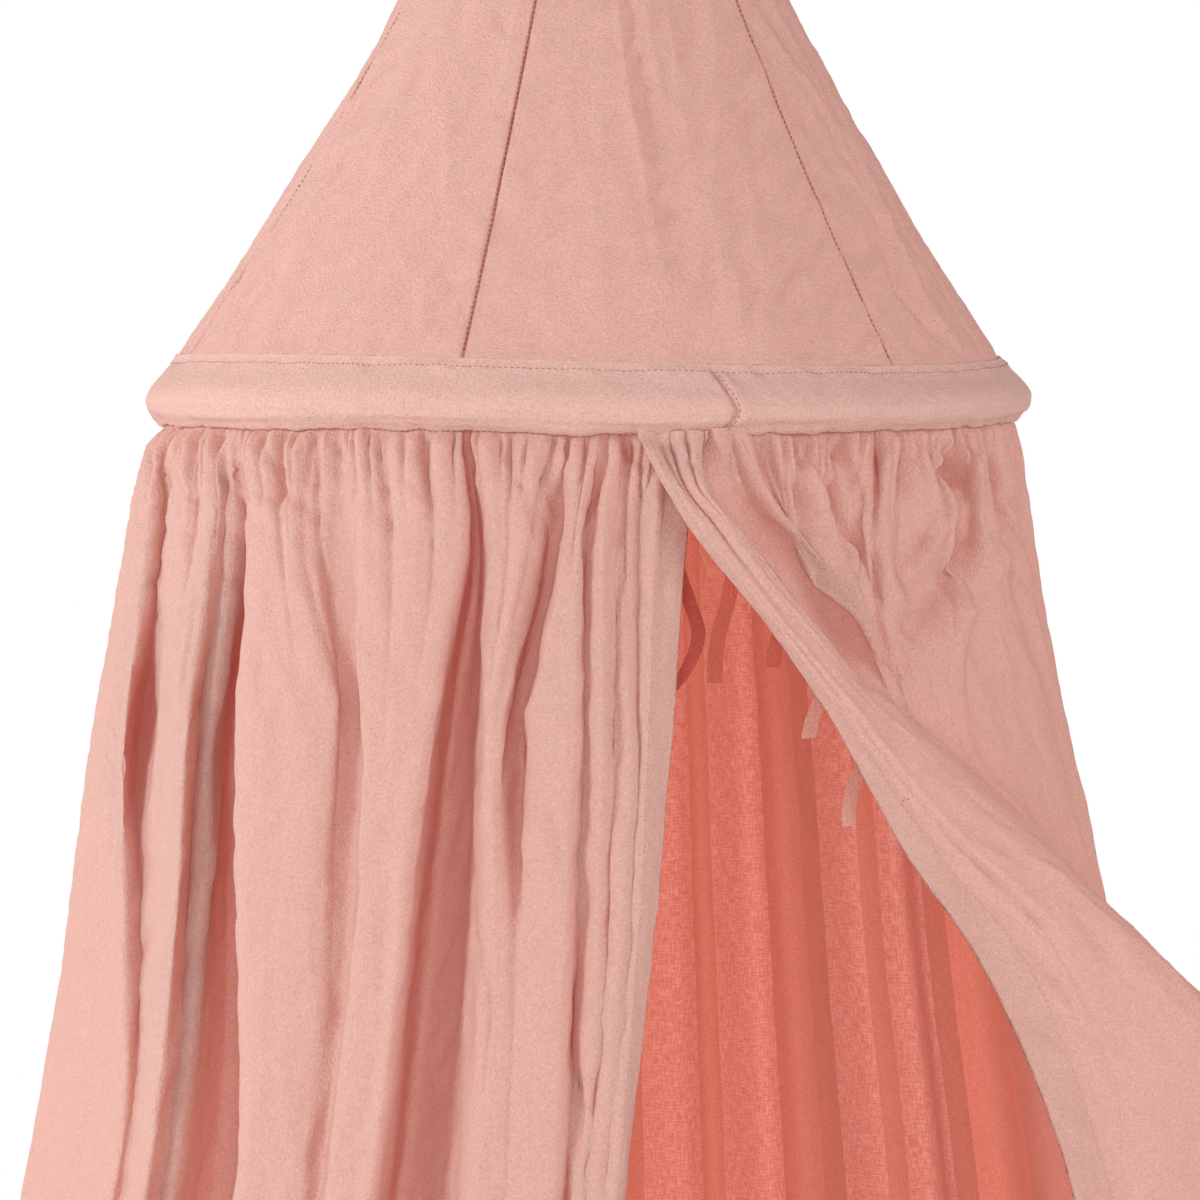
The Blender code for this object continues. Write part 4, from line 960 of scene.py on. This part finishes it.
def make_dome():
    ends = GORE_SEAMS_DEG[1:] + (GORE_SEAMS_DEG[0] + 360,)
    shares = np.concatenate([[-SEAM_TUCK / DOME_HIGH], np.linspace(0, 1, GORE_ROWS)])
    beside = np.array(SEAM_COLUMNS)
    middle = np.linspace(beside[-1], 1 - beside[-1], GORE_COLUMNS)[1:-1]
    places = np.concatenate([beside, middle, 1 - beside[::-1]])
    seams = []
    for number, (start, end) in enumerate(zip(GORE_SEAMS_DEG, ends), start=1):
        bearings = (start + (end - start) * places)[:, None]
        radius = dome_radius(np.maximum(shares, 0))[None, :]
        x, y = bearing_to_xy(bearings, radius)
        z = DOME_SEAM_Z + EDGE_SET + shares[None, :] * DOME_HIGH + hoop_sway(bearings) * (1 - shares)
        grid = np.stack([x - HOOP_ASIDE * shares[None, :], y, z + 0 * x], axis=2)
        outward = grid_normals(grid)
        across = widths(grid)
        right_side = across[-1:] - across
        edge = np.minimum(across, right_side)
        up = np.broadcast_to(shares[None, :] * DOME_HIGH, across.shape)
        high = -SEAM_DEEP * np.exp(-((edge / SEAM_WIDE) ** 2))
        step_down = 1 - shoulder(right_side, ALLOWANCE, ALLOWANCE + 0.005)
        high += ALLOWANCE_HIGH * shoulder(right_side, 0, 0.004) * step_down
        # Puckers beside the seams, the cloth's own softness, and the listed creases.
        pucker = lumps(0 * up, up, 1, 0.009, number * 5.1) * np.exp(-((edge / 0.012) ** 2))
        soft = 0.0012 * lumps(across, up, 0.035, 0.12, number * 3.3)
        soft += 1.3 * crumple(across, up, number * 2.7) + 0.0014 * pucker
        soft += creases(DOME_CREASES, across, up, (bearings[:, 0] + 180) % 360 - 180)
        soft *= shoulder(edge, 0, 0.003) * shoulder(up, 0, 0.008)
        grid = grid + outward * (high + soft)[:, :, None]
        # Each seam gets a row of dark beads in its groove: painted shade, not visible thread.
        seams.append((grid[0, 2:] + outward[0, 2:] * SEAM_SHADE_BEAD_UP, outward[0, 2:]))
        obj = cloth_object(f"gore_{number}_cloth", grid, DOME_CLOTH)
        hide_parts(f"gore_{number}")
    stitches("gore_seam_shade_beads", seams, DARK_THREAD_AND_SEAM_SHADE, SEAM_SHADE_BEAD_WIDE)


# The band's section as it is sewn: radius in mm and share of the band's height. Its top edge is turned
# under and laps a little over the dome; its middle is round where the hoop fills it.
BAND_SECTION = (
    (233.8, -0.035), (234.9, 0.02), (239.0, 0.16), (244.2, 0.32), (248.6, 0.48), (250.4, 0.62),
    (249.6, 0.76), (246.2, 0.89), (241.6, 0.99), (237.0, 1.00), (234.8, 0.82), (232.8, 0.53),
    (231.2, 0.27), (231.0, 0.02),
)
BAND_STEPS = 64
JOIN_COLUMNS_DEG = (0, 0.08, 0.18, 0.32, 0.5, 0.8)  # the closest columns, beside the join
# The join's line down the section.
JOIN_LEANS_DEG = (0, 0, 0.6, 1.3, 1.9, 2.2, 2.0, 1.4, 1.0, 0.8, 0.5, 0.2, 0, 0)
JOIN_LEAN_ENDS_DEG = 30
BAND_STITCHES = (1.35, 8.0)  # places down the section
JOIN_STITCH_COLUMN = 4


def make_casing():
    section = np.array(BAND_SECTION) * (MM, casing_high(0))
    count = len(section)
    closed = np.concatenate([section[-2:], section, section[:3]])
    wanted = np.linspace(0, count, BAND_STEPS + 1)
    radii, drops = (through(np.arange(len(closed)) - 2, closed[:, k], wanted) for k in range(2))
    lean = through(np.arange(count + 1), JOIN_LEANS_DEG + JOIN_LEANS_DEG[:1], wanted)
    beside = np.array(JOIN_COLUMNS_DEG)
    turned = np.concatenate([beside, np.linspace(1.2, 358.8, 760), 360 - beside[::-1]])[:, None]
    leaning = 1 - shoulder(turned, 0, JOIN_LEAN_ENDS_DEG) + shoulder(turned, 360 - JOIN_LEAN_ENDS_DEG, 360)
    bearings = CASING_JOIN_DEG + turned + lean[None, :] * leaning
    stretch = casing_high(bearings) / casing_high(0)
    x, y = bearing_to_xy(bearings, radii[None, :])
    z = DOME_SEAM_Z - drops[None, :] * stretch + hoop_sway(bearings)
    grid = np.stack([x, y, z], axis=2)
    outward = grid_normals(grid)
    outward *= np.sign(np.sum(outward[:, :20] * grid[:, :20] * (1, 1, 0), axis=(1, 2)))[:, None, None]
    across = np.broadcast_to(np.radians(turned) * DOME_RADIUS, bearings.shape)
    round_it = np.broadcast_to(run_along(grid[0])[None, :], bearings.shape)
    share = np.broadcast_to(drops[None, :], bearings.shape) / section[:, 1].max()
    # Slack ridges along the lower half, an uneven filling, and puckers beside the two seams.
    high = 0.0010 * lumps(across, round_it, 0.075, 0.0045, 3.1) * shoulder(share, 0.5, 0.75)
    uneven = 0.0008 * lumps(across, round_it, 0.030, 0.012, 8.4)
    high += uneven + 0.0009 * lumps(across, round_it, 0.110, 0.040, 5.7)
    pucker = lumps(across, 0 * across, 0.008, 1, 6.6)
    at_top, at_foot = np.exp(-((share / 0.13) ** 2)), np.exp(-(((share - 1) / 0.14) ** 2))
    high += 0.0016 * pucker * at_top + 0.0014 * pucker * at_foot
    high += 0.35 * crumple(across, round_it, 2.2)
    # The join: a groove, and the lapped end that stands up beside it. The hidden inner face stays plain.
    from_join = np.minimum(across, across[-1:] - across)
    high -= 0.0020 * np.exp(-((from_join / 0.0011) ** 2))
    high += 0.0008 * np.exp(-(((across - 0.0045) / 0.0028) ** 2))
    high *= 1 - shoulder(wanted, 9.2, 10)[None, :]
    high *= 0.15 + 0.85 * shoulder(share, -0.03, 0.08)
    grid = grid + outward * high[:, :, None]
    grid[-1] = grid[0]
    top, low = (int(np.searchsorted(wanted, place)) for place in BAND_STITCHES)
    seams = [(grid[:, top], outward[:, top]), (grid[:, low], outward[:, low])]
    seams.append((grid[JOIN_STITCH_COLUMN, top:low], outward[JOIN_STITCH_COLUMN, top:low]))
    # The casing's stitches take the dark thread colour, which paints the seams' shadow as well as the
    # thread.
    stitches("casing_stitches", seams, DARK_THREAD_AND_SEAM_SHADE)
    obj = cloth_object("casing_cloth", grid, CASING_CLOTH)
    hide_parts("casing")


LOOP_STEPS = 120
TAPE_RIBS = 9  # raised cords of the woven tape
# The tape's turned edge, from inside out: shares of its width and of its thickness.
TAPE_TURNED_EDGE = ((0.22, -0.42), (0.34, -0.44), (0.46, -0.42), (0.495, -0.30), (0.50, 0.0), (0.496, 0.30))


def make_hanging_loop():
    """The tape's run from one end of its tail, round the eye and back, its cords a little proud."""
    half = LOOP_EYE_WIDE / 2 + LOOP_TAPE_THICK / 2
    foot = -LOOP_EYE_HIGH - LOOP_TAIL_LONG
    side = LOOP_TAPE_THICK * 0.52
    turns = np.linspace(0, math.pi, 9)
    crown = [(half * math.cos(turn), half * math.sin(turn) - LOOP_EYE_WIDE / 2) for turn in turns]
    right = [(side, foot), (side, foot + 0.008), (side, -LOOP_EYE_HIGH - 0.004)]
    right += [(side + 0.0008, -LOOP_EYE_HIGH), (half * 0.62, -LOOP_EYE_HIGH * 0.74)]
    left = [(-x, z) for x, z in reversed(right)]
    path = np.array(right + crown + left)
    run = run_along(path)
    wanted = np.linspace(0, run[-1], LOOP_STEPS)
    x, z = through(run, path[:, 0], wanted), through(run, path[:, 1], wanted)
    slope = np.stack([np.gradient(x), np.gradient(z)], axis=1)
    slope /= np.linalg.norm(slope, axis=1, keepdims=True)
    outwards = np.stack([slope[:, 1], 0 * x, -slope[:, 0]], axis=1)
    middle = np.stack([x, 0 * x, z], axis=1)
    across = np.linspace(-0.5, 0.5, 8 * TAPE_RIBS + 1)
    proud = 0.0001 * np.abs(np.sin(math.pi * TAPE_RIBS * (across + 0.5))) + 0.45 * LOOP_TAPE_THICK
    under = np.array(TAPE_TURNED_EDGE)
    across = np.concatenate([-under[:, 0], across * 0.98, under[::-1, 0]])
    proud = np.concatenate([under[:, 1] * LOOP_TAPE_THICK, proud, under[::-1, 1] * LOOP_TAPE_THICK])
    grid = middle[:, None] + outwards[:, None] * proud[None, :, None]
    grid = grid + np.array([0, LOOP_TAPE_WIDE, 0]) * across[None, :, None]
    obj = cloth_object("hanging_loop_tape", grid, TAPE_CLOTH, aside=0)
    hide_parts("hanging_loop")


def dress_hoop():
    """The bare hoop inside the casing: satin white plastic with a cloudy tone and gloss."""
    material, tree = add_material("hoop_plastic_look")
    where = add_node(tree, "TexCoord")
    cloudy = add_node(tree, "TexNoise", {"Scale": 60, "Vector": where.outputs["Object"]}).outputs["Fac"]
    gloss = add_node(tree, "MapRange", {"To Min": 0.38, "To Max": 0.55, "Value": cloudy})
    tones = {"A": (0.80, 0.79, 0.75, 1), "B": (0.88, 0.87, 0.84, 1), "Factor": cloudy}
    tone = add_node(tree, "Mix", tones, data_type="RGBA")
    bump = add_node(tree, "Bump", {"Distance": 0.0002, "Height": cloudy})
    sockets = {"Roughness": gloss.outputs["Result"], "Base Color": tone.outputs["Result"]}
    fill(tree, tree.nodes["Principled BSDF"], {**sockets, "Normal": bump.outputs["Normal"]})
    hoop = bpy.data.objects["hoop"]
    for slot in hoop.material_slots:
        slot.material = material


# Ties d and e take the pale ribbon colour as painted light. The others take the dark one as painted shade.
PAINTED_LIT_TIES = ("tie_d", "tie_e")
TIE_ROWS = 60
TIE_COLUMNS = 7


def make_ties(reliefs):
    """The ribbons, each a little further in where the hem's relief is sunk, so that it stays behind it."""
    for tie in TIES:
        route, width = tie_route(tie)
        places, high = reliefs[tie.panel]
        column, row = np.searchsorted(places, tie.line), np.searchsorted(FINE_ROWS, tie.run_cm * CM)
        route = route - (0, min(high[column - 2 : column + 3, row - 2 : row + 8].min(), 0), 0)
        shares = np.linspace(0, len(route) - 1, TIE_ROWS)
        line = np.stack([through(np.arange(len(route)), route[:, k], shares) for k in range(3)], axis=1)
        offsets = np.linspace(-0.5, 0.5, TIE_COLUMNS) * RIBBON_WIDE
        grid = line[None, :, :] + offsets[:, None, None] * width[None, None, :]
        # Painted light and shade: the pale ribbon colour goes to the lit ties, the dark one to the rest.
        ribbon = PAINTED_LIT_RIBBON if tie.name in PAINTED_LIT_TIES else PAINTED_SHADE_RIBBON
        obj = cloth_object(tie.name + "_cloth", grid, ribbon)
        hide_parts(tie.name)


FLOOR_HALF = 2.0
FLOOR_BELOW = 0.012  # the hem hangs just clear of the floor
ROOM_LIGHT = 0.38
ROOM_COLOUR = (1.0, 0.76, 0.70)
# Name, place, what it faces, side in metres, watts.
LIGHTS = (
    ("left_key", (-2.7, -1.6, 0.1), (0, 0, -0.6), 0.8, 47),
    ("right_fill", (2.4, -1.6, 0.1), (0, 0, -0.6), 1.6, 34),
    ("left_rim", (-2.3, 0.5, 0.1), (0, 0, -0.6), 1.2, 24),
    ("front", (-0.2, -3.0, -0.3), (0, 0, -0.7), 1.0, 25),
    ("behind", (0.3, 2.2, -0.6), (0, 0, -0.8), 1.8, 36),
)


def soft_light(name, where, towards, size, power):
    data = bpy.data.lights.new(name, "AREA")
    data.shape = "SQUARE"
    data.size = size
    data.energy = power
    light = add_object(name, data)
    light.location = where
    light.rotation_euler = (Vector(towards) - Vector(where)).to_track_quat("-Z", "Y").to_euler()


def make_studio():
    scene = bpy.context.scene
    scene.view_settings.view_transform = "Standard"
    world = bpy.data.worlds.new("studio")
    world.use_nodes = True
    tree = world.node_tree
    room = tree.nodes["Background"]
    fill(tree, room, {"Strength": ROOM_LIGHT, "Color": (*ROOM_COLOUR, 1)})
    sweep = add_node(tree, "Background", {"Color": (1, 1, 1, 1)})
    seen = add_node(tree, "LightPath").outputs["Is Camera Ray"]
    backgrounds = {"Fac": seen, 1: room.outputs["Background"], 2: sweep.outputs["Background"]}
    either = add_node(tree, "MixShader", backgrounds)
    fill(tree, tree.nodes["World Output"], {"Surface": either.outputs["Shader"]})
    scene.world = world
    for light in LIGHTS:
        soft_light(*light)

    mesh = bpy.data.meshes.new("floor")
    corners = [(x * FLOOR_HALF, y * FLOOR_HALF, 0) for x, y in ((-1, -1), (1, -1), (1, 1), (-1, 1))]
    mesh.from_pydata(corners, [], [(0, 1, 2, 3)])
    floor = add_object("floor", mesh)
    floor.location = (0, 0, CAD_BOX[0][2] - FLOOR_BELOW)
    material, tree = add_material("floor_paint")
    fill(tree, tree.nodes["Principled BSDF"], {"Base Color": (0.80, 0.79, 0.77, 1), "Roughness": 0.8})
    mesh.materials.append(material)


LENS_MM = 115.54
SENSOR_MM = 36
CAMERA_AT = (-0.00116, -2.2, -0.4282)
CAMERA_LOOKS_DOWN_DEG = 4.298


def make_camera():
    data = bpy.data.cameras.new("camera")
    data.lens = LENS_MM
    data.sensor_width = SENSOR_MM
    data.clip_end = 50
    camera = add_object("camera", data)
    camera.location = CAMERA_AT
    camera.rotation_euler = (math.radians(90 - CAMERA_LOOKS_DOWN_DEG), 0, 0)
    bpy.context.scene.camera = camera


make_camera()
make_studio()
skirt_reliefs = make_skirt()
make_dome()
make_casing()
make_ties(skirt_reliefs)
make_hanging_loop()
dress_hoop()
